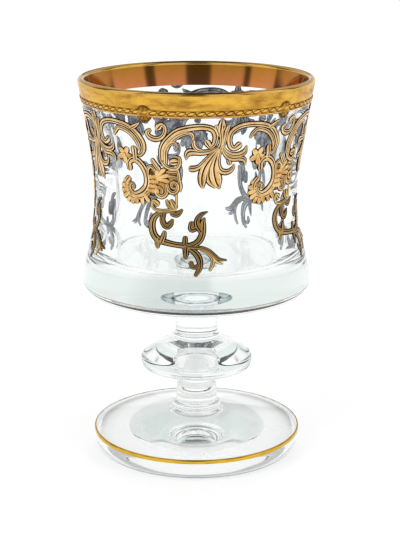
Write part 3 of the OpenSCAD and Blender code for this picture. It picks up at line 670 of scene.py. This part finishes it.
CARTOUCHE = [
    [[-38.6, 33.2, 2.8], [-40.2, 31.8, 2.1], [-40.2, 29.6, 1.9], [-38.8, 27.6, 1.9],
     [-36.2, 26.8, 1.9], [-33, 26.8, 2], [-29.8, 27.4, 2.2], [-26.8, 28.6, 2.1]],
    [[-36.8, 37.8, 2.9], [-36.7, 39.5, 2.6], [-34.4, 40.8, 2.7], [-31.4, 40.5, 2.8],
     [-28.7, 38.8, 2.8], [-27, 36.3, 2.7], [-26.5, 33.7, 2.7], [-27.2, 31.4, 2.8], [-29.2, 29.7, 2.9],
     [-32, 28.5, 2.7], [-34.8, 28.1, 2.1], [-37, 28.9, 1.7], [-38, 30.4, 1.6], [-37.2, 31.7, 1.5],
     [-35.7, 31.8, 1.3], [-34.9, 30.8, 1.5], [-35.6, 30.1, 1.3]],
    [[-22.6, 41.2, 1.8], [-21.4, 39.8, 2.1], [-19.8, 38.4, 2.1]],
    [[-25.8, 36.2, 1.3], [-25.5, 38, 1.6], [-23.8, 38.9, 1.7], [-22.2, 38, 1.5]],
    [[-10.4, 39, 1.5], [-9.3, 36.8, 1.6], [-8.9, 34.4, 1.6], [-8.4, 32.2, 1.8], [-8.6, 30.6, 1.3]],
    [[-13.5, 37.4, 1.7], [-11, 37.4, 1.5]],
    [[-13.6, 35.5, 1.7], [-11, 35.4, 1.5]],
    [[-15.2, 32.4, 1.3], [-14.6, 30.7, 1.8], [-12.6, 29.7, 1.9], [-10.4, 30.3, 1.8],
     [-9.8, 32.1, 1.7], [-10.9, 33.4, 1.6], [-12.8, 33.2, 1.5], [-13, 31.9, 1.3], [-11.9, 31.5, 1.5]],
    [[-16.2, 32.2, 1.3], [-15.6, 30.4, 1.7], [-16.4, 28.9, 1.9], [-18.5, 28, 2], [-20.8, 28.5, 2],
     [-21.7, 30, 1.8], [-20.6, 31.3, 1.6], [-18.9, 31.1, 1.5], [-18.4, 30, 1.5]]
]
SHELL = [
    [-25.6, 37.4], [-23.8, 38.6], [-21, 38.4], [-18, 38.2], [-15, 38], [-12, 38.4],
    [-10, 38.2], [-9.2, 35.5], [-8.8, 33], [-9.4, 30.4], [-12, 29.4], [-15, 28.8],
    [-18, 28], [-21, 28.4], [-24, 28], [-27, 28.6], [-27.2, 31.5], [-26.2, 35]
]
SHELL_CENTRE = (-18, 33.4)
# rows of small scales on the shell, as (column, row, diameter)
SCALES = [(-25.6 + 2.2 * i - 1.1 * (j % 2), 29.9 + 1.7 * j, 2.2) for j in range(4) for i in range(3)]
# how many columns are as wide as a row is high
ROW_COLUMNS = 1.5
# Ribs that spread from a point of the draft: (its column and row, the distances at which a rib
# starts and ends, the directions of the first and the last rib, count, widths along a rib)
RIBS = [
    ((-35.8, 29.6), (2.4, 4.2), (140, 290), 7, (1.4, 2.2, 2.5)),
    ((-31.4, 31), (3.2, 5.4), (255, 305), 3, (1.6, 2.2, 2.4)),
    ((-22, 34.4), (1, 4.4), (72, -8), 4, (1, 1.9, 2.3))
]
PETALS = ((-39.3, 42.2), (0.4, 2), (59, 347), 5, (1.4, 2.6, 2.7))
FLOWER_BOSS = (-39.3, 42.2, 1.5)
PENDANT = [
    [[-10.6, 29.4, 1], [-10.6, 26.8, 1], [-10.8, 24.4, 1.3]],
    [[-21.6, 25.5, 2.7], [-23.5, 26.3, 1.4], [-24.2, 24.6, 1.3], [-22.4, 23.2, 1.4],
     [-18.4, 22.9, 1.4], [-14.4, 23.2, 1.6], [-11.8, 23.6, 1.9]],
    [[-15.8, 26.6, 1.2], [-15, 25.2, 1.8], [-13, 24.2, 2]],
    [[-13.2, 26.4, 1.9], [-11.9, 24.8, 2.3]],
    [[-12.6, 22, 2.2], [-10.6, 21.8, 2.3], [-8.9, 22.6, 1.9], [-7.8, 23.4, 1.2]],
    [[-12.4, 23.1, 1.5], [-16, 22.7, 1.5], [-19.6, 22, 1.8], [-22.6, 20.6, 2.3], [-24.2, 18.4, 2.8],
     [-24.1, 15.9, 2.9], [-22.6, 13.7, 2.8], [-19.8, 12.3, 2.7], [-15, 11.5, 2.3], [-10.5, 11, 2.1],
     [-6.5, 10.8, 2.3], [-3.2, 10.5, 2.1]],
    [[-17.8, 21.8, 2.1], [-18.3, 19.6, 2.3], [-17.2, 17.9, 2.4], [-15.4, 17.4, 2.4],
     [-13.8, 18.5, 2.3], [-12.9, 19.6, 1.3]],
    [[-17.1, 15, 1.7], [-17.6, 13.6, 2.3], [-18.4, 12.2, 2.5]],
    [[-20.8, 12.2, 2.5], [-20.7, 10.8, 2.3], [-20.6, 10, 1.6]],
    [[-5.9, 13.3, 2], [-5.9, 11.8, 2.2], [-5.6, 10.2, 2.4], [-5.4, 8.2, 2.4], [-5.5, 6.8, 1.6]],
    [[-4, 10.8, 2.1], [-1, 11.4, 2.3], [1.4, 12.6, 2.6], [2.9, 14.6, 2.6], [3.2, 17, 2.8],
     [3.4, 19, 2.3], [4.1, 20.3, 1.3]],
    [[2.2, 16.4, 2.5], [0.6, 18.4, 2.6], [0.7, 20.2, 2.3], [2.4, 21.8, 1.8], [4.3, 22.5, 1.2],
     [5.9, 22.9, 0.5]],
    [[-2.5, 18.4, 2.4], [-2.5, 16.7, 2.6], [-0.2, 17.2, 2.5], [1.4, 17.4, 2.3]],
    [[-4.6, 10.2, 1.9], [-1.6, 8.9, 2.3], [0.7, 7.2, 2.6], [1.8, 5, 2.4], [1.5, 2.8, 2],
     [0.3, 1.4, 1.7], [-0.3, 0.7, 1.5]],
    [[-2.7, 4.6, 1.9], [-1.9, 3.5, 1.7], [-0.4, 3.3, 1.5], [1.2, 4.2, 1.4]],
    [[-4, 10.4, 1.7], [0, 10.2, 1.6], [3.5, 9.8, 1.6], [6.8, 8.7, 1.7], [9.4, 7.1, 1.7],
     [11.8, 5.9, 1.4], [15.2, 5.5, 0.7]],
    [[2.6, 9.4, 1.3], [6, 8.2, 1.5], [8.3, 6.2, 1.8], [8.1, 4.2, 1.5], [6.8, 2.4, 1.2]],
    [[9, 6.2, 1.1], [10.6, 4.9, 1.1], [13.2, 4.3, 0.6]]
]

# how golden each of the pendant's strokes is left, from 0, bronze, to 1
PENDANT_TONES = [0.6, 0.8, 0.5, 0.6, 0, 0.15, 0, 0.25, 0.3, 0, 0.1, 0, 0, 0.05, 0, 0.1, 0.7, 0.9]

# Relief of a stroke, in millimetres: how thick it is at its edge, the step up to its dome, the
# dome, and the depth of its cuts
EDGE_T = 0.16
DOME_STEP = 0.03
DOME_T = 0.14
CUT_DEPTH = 0.08
# the dark line along each edge, that line's soft side and half of a cut
EDGE_LINE = 0.5
EDGE_FADE = 0.1
CUT_HALF = 0.36
# the most of a narrow stroke's half width that each of them takes
EDGE_SHARE = 0.42
FADE_SHARE = 0.12
CUT_SHARE = 0.36
# how far a stroke lies over the one before it, and the thinnest that its end may be
LIFT = 0.05
THINNEST = 0.04
STROKE_STEPS = 6
# how much of the painted highlight, a pale gold, shows beside a cut
HIGHLIGHT_SHARE = 0.85
# cuts along a stroke, as (place across it from -1 to 1, half width from which it shows)
CUTS = [(-0.24, 0.6), (0.5, 1.6)]
# the palmette's hanging leaves are plainer, with one cut each
LEAVES = (3, 4, 5)
LEAF_CUTS = [(0.1, 0.9)]


def ramp(value, start, end):
    """0 up to start, 1 from end, and straight between them."""
    return min(max((value - start) / (end - start), 0), 1)


def section(half, cuts):
    """Section of a stroke from its left edge to its right: (place across it, height, ink, painted
    highlight).
    """
    edge = min(EDGE_LINE, EDGE_SHARE * half)
    fade = min(EDGE_FADE, FADE_SHARE * half)
    inside = half - edge
    cut = min(CUT_HALF / inside, CUT_SHARE)
    # (place across the inside, ink, painted highlight)
    # a painted highlight just inside the left edge
    marks = [(-1, 0, 0.4), (-0.86, 0, 1), (-0.72, 0, 0)]
    for place, shows_from in cuts:
        strength = ramp(half, shows_from - 0.1, shows_from + 0.1)
        # a cut, and a painted highlight beside it
        marks += [(place - cut, 0, 0), (place - 0.5 * cut, strength, 0),
                  (place + 0.5 * cut, strength, 0), (place + cut, 0, 0.6),
                  (place + cut + 0.1, 0, 1), (place + cut + 0.22, 0, 0)]
    marks += [(0.9, 0, 0), (1, 0, 0)]
    left = [(-half, EDGE_T * 0.6, 1, 0), (-half + edge - fade, EDGE_T, 1, 0)]
    right = [(-s, height, ink, highlight) for s, height, ink, highlight in reversed(left)]
    top_side = [(u * inside, EDGE_T + DOME_STEP + DOME_T * (1 - u * u) - CUT_DEPTH * ink, ink, highlight)
                for u, ink, highlight in marks]
    return left + top_side + right


def stroke(points, lift=0.0, flip=False, tone=0.0, cuts=CUTS):
    """A tapering ribbon along a smooth curve, as rows of (angle, height, thickness, ink, share of
    pale gold with its painted highlight).
    """
    path = np.array(smooth(points, STROKE_STEPS))
    angle = path[:, 0] * COLUMN_ANGLE
    z = FIELD_Z + path[:, 1]
    flat = np.stack([angle * wall_radius(z), z], 1)
    along = np.gradient(flat, axis=0)
    along /= np.linalg.norm(along, axis=1)[:, None]
    # round ends
    places = [(flat[i], along[i], path[i, 2] / 2) for i in range(len(flat))]
    turns = [math.radians(a) for a in (25, 50, 70, 85)]
    start, end = places[0], places[-1]
    head = [(start[0] - start[1] * start[2] * math.sin(t), start[1], start[2] * math.cos(t))
            for t in reversed(turns)]
    tail = [(end[0] + end[1] * end[2] * math.sin(t), end[1], end[2] * math.cos(t)) for t in turns]
    rows = []
    for place, direction, half in head + places + tail:
        across = np.array([-direction[1], direction[0]])
        row = []
        for s, thickness, ink, highlight in section(max(half, THINNEST), cuts):
            at = place + across * (-s if flip else s)
            # the stroke's tone, with the painted highlight added
            row.append((at[0] / wall_radius(place[1]), at[1], thickness + lift, ink,
                        min(tone + HIGHLIGHT_SHARE * highlight, 1)))
        rows.append(row if not flip else row[::-1])
    return rows


def medallion(centre, outline, rings, lift=0.0):
    """A round or leaf-shaped boss: rings are (share of the way out, thickness, ink).

    Centre and outline are (column, row). Its rows run from the centre out."""
    rows = []
    for share, thickness, ink in rings:
        row = []
        for column, height in outline + [outline[0]]:
            c = between(centre[0], column, share)
            r = between(centre[1], height, share)
            row.append((c * COLUMN_ANGLE, FIELD_Z + r, thickness + lift, ink, 0))
        rows.append(row)
    return rows


def circle(column, row, diameter, count=20):
    """Outline of a circle on the wall, as (column, row)."""
    column_w = COLUMN_ANGLE * wall_radius(FIELD_Z + row)
    turns = [math.tau * i / count for i in range(count)]
    return [(column + diameter / 2 * math.sin(t) / column_w, row - diameter / 2 * math.cos(t))
            for t in turns]


LOBE_RINGS = [(0.02, 0.36, 0), (0.3, 0.35, 0), (0.5, 0.31, 0), (0.66, 0.3, 0),
              (0.74, 0.25, 0.1), (0.86, 0.18, 1), (1, 0.12, 1)]
SHELL_RINGS = [(0.02, 0.16, 0.15), (0.5, 0.16, 0.15), (0.85, 0.15, 0.3), (0.94, 0.13, 1), (1, 0.1, 1)]
# what lies over what in the cartouche: scales, ribs, scrolls and the flower's boss
SCALE_LIFT = 0.02
RIB_LIFT = 0.02
SCROLL_LIFT = 0.08
BOSS_LIFT = 0.16


def lobes(shares, lift):
    return [medallion((c, r), circle(c, r, d), LOBE_RINGS, lift + SCALE_LIFT * (i % 3))
            for i, (c, r, d) in enumerate(shares)]


def fan(place, reach, directions, count, widths):
    """Ribs that spread from a point of the draft. Distances are in rows, directions in degrees."""
    ribs = []
    for i in range(count):
        a = math.radians(between(*directions, i / (count - 1)))
        ribs.append([
            [place[0] + ROW_COLUMNS * between(*reach, s) * math.cos(a),
             place[1] + between(*reach, s) * math.sin(a), width]
            for s, width in zip((0, 0.5, 1), widths)
        ])
    return ribs


def strokes(shares, first_lift=0.0, tones=None, leaves=(), cuts=CUTS):
    """The strokes of a motif, each laid a little over the ones before it."""
    return [stroke(points, first_lift + LIFT * (i % 4), i % 2 == 1, tones[i] if tones else 0,
                   LEAF_CUTS if i in leaves else cuts)
            for i, points in enumerate(shares)]


def relief(name, patches, turn, finish, node_name, base=GILT_GAP):
    """One piece of raised gilding on the wall: every patch is a closed slab of its own.

    Its strokes cross, taper and carry a tone and a painted highlight at each point, so their mesh
    is written directly."""
    vertices, faces, ink, tones, backs = [], [], [], [], []
    for rows in patches:
        count, width = len(rows), len(rows[0])
        first = len(vertices)
        for level in (1, 0):
            for row in rows:
                for angle, z, thickness, dark, tone in row:
                    r = float(wall_radius(z)) + base + thickness * level
                    a = angle + turn
                    vertices.append((r * math.sin(a) * MM, -r * math.cos(a) * MM, z * MM))
                    ink.append(dark)
                    tones.append(tone)
        size = count * width
        for i in range(count - 1):
            for j in range(width - 1):
                quad = [first + i * width + j, first + i * width + j + 1,
                        first + (i + 1) * width + j + 1, first + (i + 1) * width + j]
                faces.append(quad)
                faces.append([v + size for v in reversed(quad)])
                backs.append(len(faces) - 1)
        rim = ([first + j for j in range(width)]
               + [first + i * width + width - 1 for i in range(1, count)]
               + [first + (count - 1) * width + j for j in range(width - 2, -1, -1)]
               + [first + i * width for i in range(count - 2, 0, -1)])
        for a, b in zip(rim, rim[1:] + rim[:1]):
            faces.append([b, a, a + size, b + size])
    mesh = bpy.data.meshes.new(name)
    mesh.from_pydata(vertices, [], faces)
    mesh.attributes.new("ink", "FLOAT", "POINT").data.foreach_set("value", ink)
    mesh.attributes.new("tone", "FLOAT", "POINT").data.foreach_set("value", tones)
    mesh.materials.append(finish)
    mesh.materials.append(BACK)
    for i in backs:
        mesh.polygons[i].material_index = 1
    piece = bpy.data.objects.new(name, mesh)
    bpy.context.collection.objects.link(piece)
    bpy.ops.object.select_all(action="DESELECT")
    piece.select_set(True)
    bpy.context.view_layer.objects.active = piece
    bpy.ops.object.mode_set(mode="EDIT")
    close_skin()
    bpy.ops.object.shade_smooth_by_angle(angle=math.radians(50))
    settle(piece, node_name)


def lay_round(motifs):
    """Lays each motif round the bowl, given as (piece, node, patches, gold, slot)."""
    for k in range(1, REPEATS + 1):
        turn = math.tau / REPEATS * (k - 1)
        for name, node_name, patches, finish, slot in motifs:
            relief(f"{name}_{k}", patches, turn, finish, f"{node_name}_{k}")


def make_scrollwork():
    shell = [medallion(SHELL_CENTRE, SHELL, SHELL_RINGS)] + lobes(SCALES, 0)
    for ribs in RIBS:
        shell += strokes(fan(*ribs), RIB_LIFT, cuts=())
    shell += strokes(CARTOUCHE, SCROLL_LIFT)
    shell += strokes(fan(*PETALS), RIB_LIFT, cuts=()) + lobes([FLOWER_BOSS], BOSS_LIFT)
    gold = (RAISED_GOLD, "raised_gold")
    lay_round([
        ("palmette_leaf", "palmette", strokes(PALMETTE, leaves=LEAVES), *gold),
        ("scroll_left", "left_scroll", strokes(LEFT_SCROLL), *gold),
        ("scroll_right", "right_scroll", strokes(RIGHT_SCROLL), *gold),
        ("comma", "comma_scroll", strokes(COMMA), *gold),
        ("shell_cartouche", "cartouche", shell, *gold),
        ("pendant_leaf", "pendant", strokes(PENDANT, tones=PENDANT_TONES), PENDANT_GOLD, "dark_gold")
    ])


# A rosette: its petals, points round it, rings that it is drawn in, and the places and half width
# of the dark lines round its boss and its petals, as shares of the way out
PETAL_COUNT = 8
ROSETTE_POINTS = 64
ROSETTE_RINGS = (0.02, 0.12, 0.2, 0.26, 0.32, 0.42, 0.52, 0.62, 0.7, 0.76, 0.82, 0.88, 0.94, 1)
BOSS_SHARE = 0.26
PETAL_SHARE = 0.82
RING_LINE_SHARE = 0.06
# its thickness at its edge, its dome and the depth of its cuts
ROSETTE_T = 0.32
ROSETTE_DOME = 0.2
ROSETTE_CUT = 0.12


def make_rosettes():
    """A medallion with eight petals round a boss, cut with dark lines between them."""
    column, row = ROSETTE_PLACE
    outline = circle(column, row, 2 * ROSETTE_R, ROSETTE_POINTS)
    rows = []
    for share in ROSETTE_RINGS:
        line = []
        for i, (c, r) in enumerate(outline + [outline[0]]):
            petal = abs(math.sin(PETAL_COUNT / 2 * math.tau * i / ROSETTE_POINTS))
            between_petals = (ramp(0.42 - petal, 0, 0.3) * ramp(share, BOSS_SHARE, 0.34)
                              * ramp(PETAL_SHARE - share, 0, 0.04))
            dark = max(between_petals, 1 - abs(share - BOSS_SHARE) / RING_LINE_SHARE,
                       1 - abs(share - PETAL_SHARE) / RING_LINE_SHARE, ramp(share, 0.9, 0.96), 0)
            thickness = ROSETTE_T + ROSETTE_DOME * (1 - share ** 2) - ROSETTE_CUT * dark
            line.append((between(column, c, share) * COLUMN_ANGLE,
                         FIELD_Z + between(row, r, share), thickness, dark, 0))
        rows.append(line)
    lay_round([("medallion", "rosette", [rows], ROSETTE_GOLD, "raised_gold")])


# The chain: links in a repeat, points along a link and rows across half of the border
REPEAT_LINKS = 16
LINK_POINTS = 24
HALF_ROWS = 10
# a link's outline: how full its oval is, its slant, its half height and its dark line
LINK_POWER = 1.4
LINK_SLANT = 0.7
LINK_HALF = 0.72
LINK_LINE = 0.3
# the border's thickness at its edge, its dome and the depth of its cuts
CHAIN_T = 0.2
CHAIN_DOME = 0.12
CHAIN_CUT = 0.1


def make_chain():
    """The border of twisted links: slanting ovals in a raised strip, each in a dark cut, with a
    painted highlight in its middle.
    """
    points = REPEAT_LINKS * REPEATS * LINK_POINTS
    middle = (low("chain_border") + top("chain_border")) / 2
    half = (top("chain_border") - low("chain_border")) / 2
    rows = []
    for j in range(2 * HALF_ROWS + 1):
        across = j / HALF_ROWS - 1
        row = []
        for i in range(points + 1):
            along = (i % LINK_POINTS) / LINK_POINTS - 0.5
            # 1 on a link's outline, less inside it
            out = (abs(along / 0.5) ** LINK_POWER
                   + abs((across - LINK_SLANT * along) / LINK_HALF) ** LINK_POWER)
            dark = max(ramp(LINK_LINE - abs(out - 1), 0, 0.12), ramp(abs(across), 0.88, 0.96))
            # a painted highlight in each link's middle
            pale_gold_and_highlight = 0.6 * ramp(0.5 - out, 0, 0.3)
            thickness = CHAIN_T + CHAIN_DOME * (1 - across ** 2) - CHAIN_CUT * dark
            row.append((math.tau * i / points, middle + across * half, thickness, dark, pale_gold_and_highlight))
        rows.append(row)
    relief("chain_links", [rows], 0, CHAIN_GOLD, "chain_border",
           base=GILT_GAP + LEAF_T)


# Studio

PHOTO_HEIGHT = 545
FOCAL_PX = 1476
CAMERA_BACK = 0.5456
CAMERA_UP = 0.2201
CAMERA_DOWN = 15.44
CAMERA_TURN = -0.1436
SENSOR = 36


def make_camera():
    camera = bpy.data.objects.new("camera", bpy.data.cameras.new("camera"))
    bpy.context.collection.objects.link(camera)
    camera.location = (0, -CAMERA_BACK, CAMERA_UP)
    camera.rotation_euler = (math.radians(90 - CAMERA_DOWN), 0, math.radians(CAMERA_TURN))
    camera.data.sensor_width = SENSOR
    camera.data.lens = SENSOR * FOCAL_PX / PHOTO_HEIGHT
    bpy.context.scene.camera = camera


def seen_or_mirrored(tree):
    """1 for rays from the camera and for rays that metal or glass sends on, 0 for the others."""
    path = node(tree, "LightPath")
    seen = node(tree, "Math", {0: path.outputs["Is Camera Ray"], 1: path.outputs["Is Glossy Ray"]},
                operation="MAXIMUM")
    return node(tree, "Math", {0: seen.outputs[0], 1: path.outputs["Is Transmission Ray"]},
                operation="MAXIMUM").outputs[0]


FLOOR_R = 4
# Seen through the foot, the paper is darker under its edge: (millimetres from the axis, light)
SHADE_REACH = 60
CONTACT_SHADE = [(30, 0.97), (34, 0.84), (37, 0.45), (42, 0.4), (46, 0.94), (50, 1)]
# The lamps light the paper near the goblet, so farther off it glows more by itself
NEAR = 0.2
NEAR_GLOW = 0.69
FAR = 1.2
FAR_GLOW = 0.78


def make_floor():
    """White paper. The light that the foot bends towards its edge leaves a ring of shade there."""
    bpy.ops.object.select_all(action="DESELECT")
    bpy.ops.mesh.primitive_circle_add(vertices=96, radius=FLOOR_R, fill_type="NGON")
    floor = bpy.context.object
    floor.name = "floor"
    material, tree = new_tree("white_paper")
    paper = node(tree, "BsdfDiffuse", {"Color": linear("E8E8E8")})
    shade = node(tree, "BsdfDiffuse", {"Color": linear("A0A0A0")})
    places = node(tree, "TexCoord").outputs["Object"]
    out = node(tree, "VectorMath", {0: places}, operation="LENGTH").outputs["Value"]
    share = node(tree, "MapRange", {"Value": out, "From Max": SHADE_REACH * MM})
    near = node(tree, "ValToRGB", {"Fac": share.outputs["Result"]},
                stops=[(r / SHADE_REACH, grey(light)) for r, light in CONTACT_SHADE])
    path = node(tree, "LightPath")
    shown = node(tree, "Mix", {
        "Factor": path.outputs["Is Transmission Ray"], 6: grey(1), 7: near.outputs["Color"]},
        data_type="RGBA")
    own = node(tree, "MapRange", {
        "Value": out, "From Min": NEAR, "From Max": FAR, "To Min": NEAR_GLOW, "To Max": FAR_GLOW})
    light = node(tree, "Math", {0: shown.outputs[2], 1: own.outputs["Result"]},
                 operation="MULTIPLY")
    glow = node(tree, "Emission", {"Color": grey(1), "Strength": light.outputs[0]})
    both = node(tree, "AddShader", {0: shade.outputs[0], 1: glow.outputs[0]})
    show(tree, node(tree, "MixShader", {
        "Fac": seen_or_mirrored(tree), 1: paper.outputs[0], 2: both.outputs[0]}))
    floor.data.materials.append(material)


# The room that the gold mirrors: tall light panels, as (start, end, brightness), in degrees round
# from the camera's side towards +X, with dark gaps. Heights are a ray's, from 0, level, to 1, up.
PANELS = [(-178, -120, 0.6), (-97, -61, 1.0), (-56, -15, 0.85), (10, 48, 0.85), (57, 104, 0.95),
          (118, 172, 0.6)]
PANEL_GAP = 0.16
PANEL_EDGE = 3
BELOW_PANELS = 0.9
PANEL_FOOT = [(0.14, grey(0)), (0.18, grey(1))]
CEILING_EDGE = [(0.84, grey(0)), (0.9, grey(1))]
DARK_CEILING = 0.03
# What the glass bends into view, from the horizon up: a dark table's far edge, pale green-grey
# walls, the white lights over the goblet, and the dark ceiling above them
FAR_EDGE = (0.008, 0.012, 0.015, 1)
PALE_WALL = (0.82, 0.885, 0.86, 1)
CEILING = (0.05, 0.06, 0.07, 1)
THROUGH_GLASS = [(0.115, FAR_EDGE), (0.14, PALE_WALL), (0.42, PALE_WALL), (0.56, grey(1)),
                 (0.92, grey(1)), (0.96, CEILING)]
# a shade on the wall behind the goblet, as (share of a turn, colour)
SHADED = (0.84, 0.85, 0.85, 1)
BACK_SHADE = [(0.012, SHADED), (0.02, grey(1)), (0.92, grey(1)), (0.96, SHADED)]
# the light that the world gives to what is neither seen nor mirrored
WORLD_LIGHT = 0.62


def make_world():
    """White wherever the eye looks, and a room of light panels under a dark ceiling in the gold.

    Glass sends the eye to a paler room, and its edges to that room's dark horizon and ceiling."""
    world = bpy.data.worlds.new("studio")
    bpy.context.scene.world = world
    world.use_nodes = True
    tree = world.node_tree
    direction = node(tree, "TexCoord").outputs["Generated"]
    axes = node(tree, "SeparateXYZ", {0: direction})
    up = axes.outputs["Z"]
    back = node(tree, "Math", {0: axes.outputs["Y"], 1: -1.0}, operation="MULTIPLY")
    round_the_room = node(tree, "Math", {0: axes.outputs["X"], 1: back.outputs[0]},
                          operation="ARCTAN2")
    turn = node(tree, "MapRange", {
        "Value": round_the_room.outputs[0], "From Min": -math.pi, "From Max": math.pi})
    stops = []
    for start, end, light in PANELS:
        for angle, level in ((start, PANEL_GAP), (start + PANEL_EDGE, light),
                             (end - PANEL_EDGE, light), (end, PANEL_GAP)):
            stops.append(((angle + 180) / 360, grey(level)))
    panels = node(tree, "ValToRGB", {"Fac": turn.outputs["Result"]}, stops=stops)
    panel_height = node(tree, "ValToRGB", {"Fac": up}, stops=PANEL_FOOT)
    walls = node(tree, "Mix", {"Factor": panel_height.outputs["Color"], 6: grey(BELOW_PANELS),
                  7: panels.outputs["Color"]}, data_type="RGBA")
    ceiling = node(tree, "ValToRGB", {"Fac": up}, stops=CEILING_EDGE)
    room = node(tree, "Mix", {
        "Factor": ceiling.outputs["Color"], 6: walls.outputs[2], 7: grey(DARK_CEILING)},
        data_type="RGBA")
    heights = node(tree, "ValToRGB", {"Fac": up}, stops=THROUGH_GLASS)
    behind = node(tree, "ValToRGB", {"Fac": turn.outputs["Result"]}, stops=BACK_SHADE)
    pale = node(tree, "Mix", {
        "Factor": 1.0, 6: heights.outputs["Color"], 7: behind.outputs["Color"]},
        data_type="RGBA", blend_type="MULTIPLY")
    path = node(tree, "LightPath")
    seen = node(tree, "Mix", {
        "Factor": path.outputs["Is Transmission Ray"], 6: room.outputs[2], 7: pale.outputs[2]},
        data_type="RGBA")
    shown = tree.nodes["Background"]
    tree.links.new(seen.outputs[2], shown.inputs["Color"])
    plain = node(tree, "Background", {"Color": grey(1), "Strength": WORLD_LIGHT})
    mixed = node(tree, "MixShader", {
        "Fac": seen_or_mirrored(tree), 1: plain.outputs[0], 2: shown.outputs[0]})
    tree.links.new(mixed.outputs[0], tree.nodes["World Output"].inputs["Surface"])


# soft boxes, as (name, place, size, power)
LAMPS = [
    ("left_softbox", (-0.75, -0.55, 0.75), 0.5, 4),
    ("right_softbox", (0.8, -0.35, 0.7), 0.5, 3),
    ("back_softbox", (0.1, 0.9, 0.8), 0.6, 3)
]


def add_lamp(name, place, size, power):
    """A soft box that faces the goblet, and that neither glass nor gold mirrors."""
    lamp = bpy.data.objects.new(name, bpy.data.lights.new(name, "AREA"))
    bpy.context.collection.objects.link(lamp)
    lamp.data.shape = "SQUARE"
    lamp.data.size = size
    lamp.data.energy = power
    lamp.visible_glossy = False
    lamp.visible_transmission = False
    lamp.location = place
    x, y, z = place
    drop = z - BOWL_Z * MM
    lamp.rotation_euler = (math.atan2(math.hypot(x, y), drop), 0, math.atan2(-y, -x) - math.pi / 2)


def make_studio():
    make_camera()
    make_floor()
    make_world()
    for lamp in LAMPS:
        add_lamp(*lamp)
    scene = bpy.context.scene
    scene.view_settings.view_transform = "Standard"
    # light turns back many times inside the thick wall before it leaves
    scene.cycles.max_bounces = 24
    scene.cycles.glossy_bounces = 16
    scene.cycles.transmission_bounces = 24


make_bowl()
make_stem()
make_foot()
make_plain_gold()
make_scrollwork()
make_rosettes()
make_chain()
make_studio()
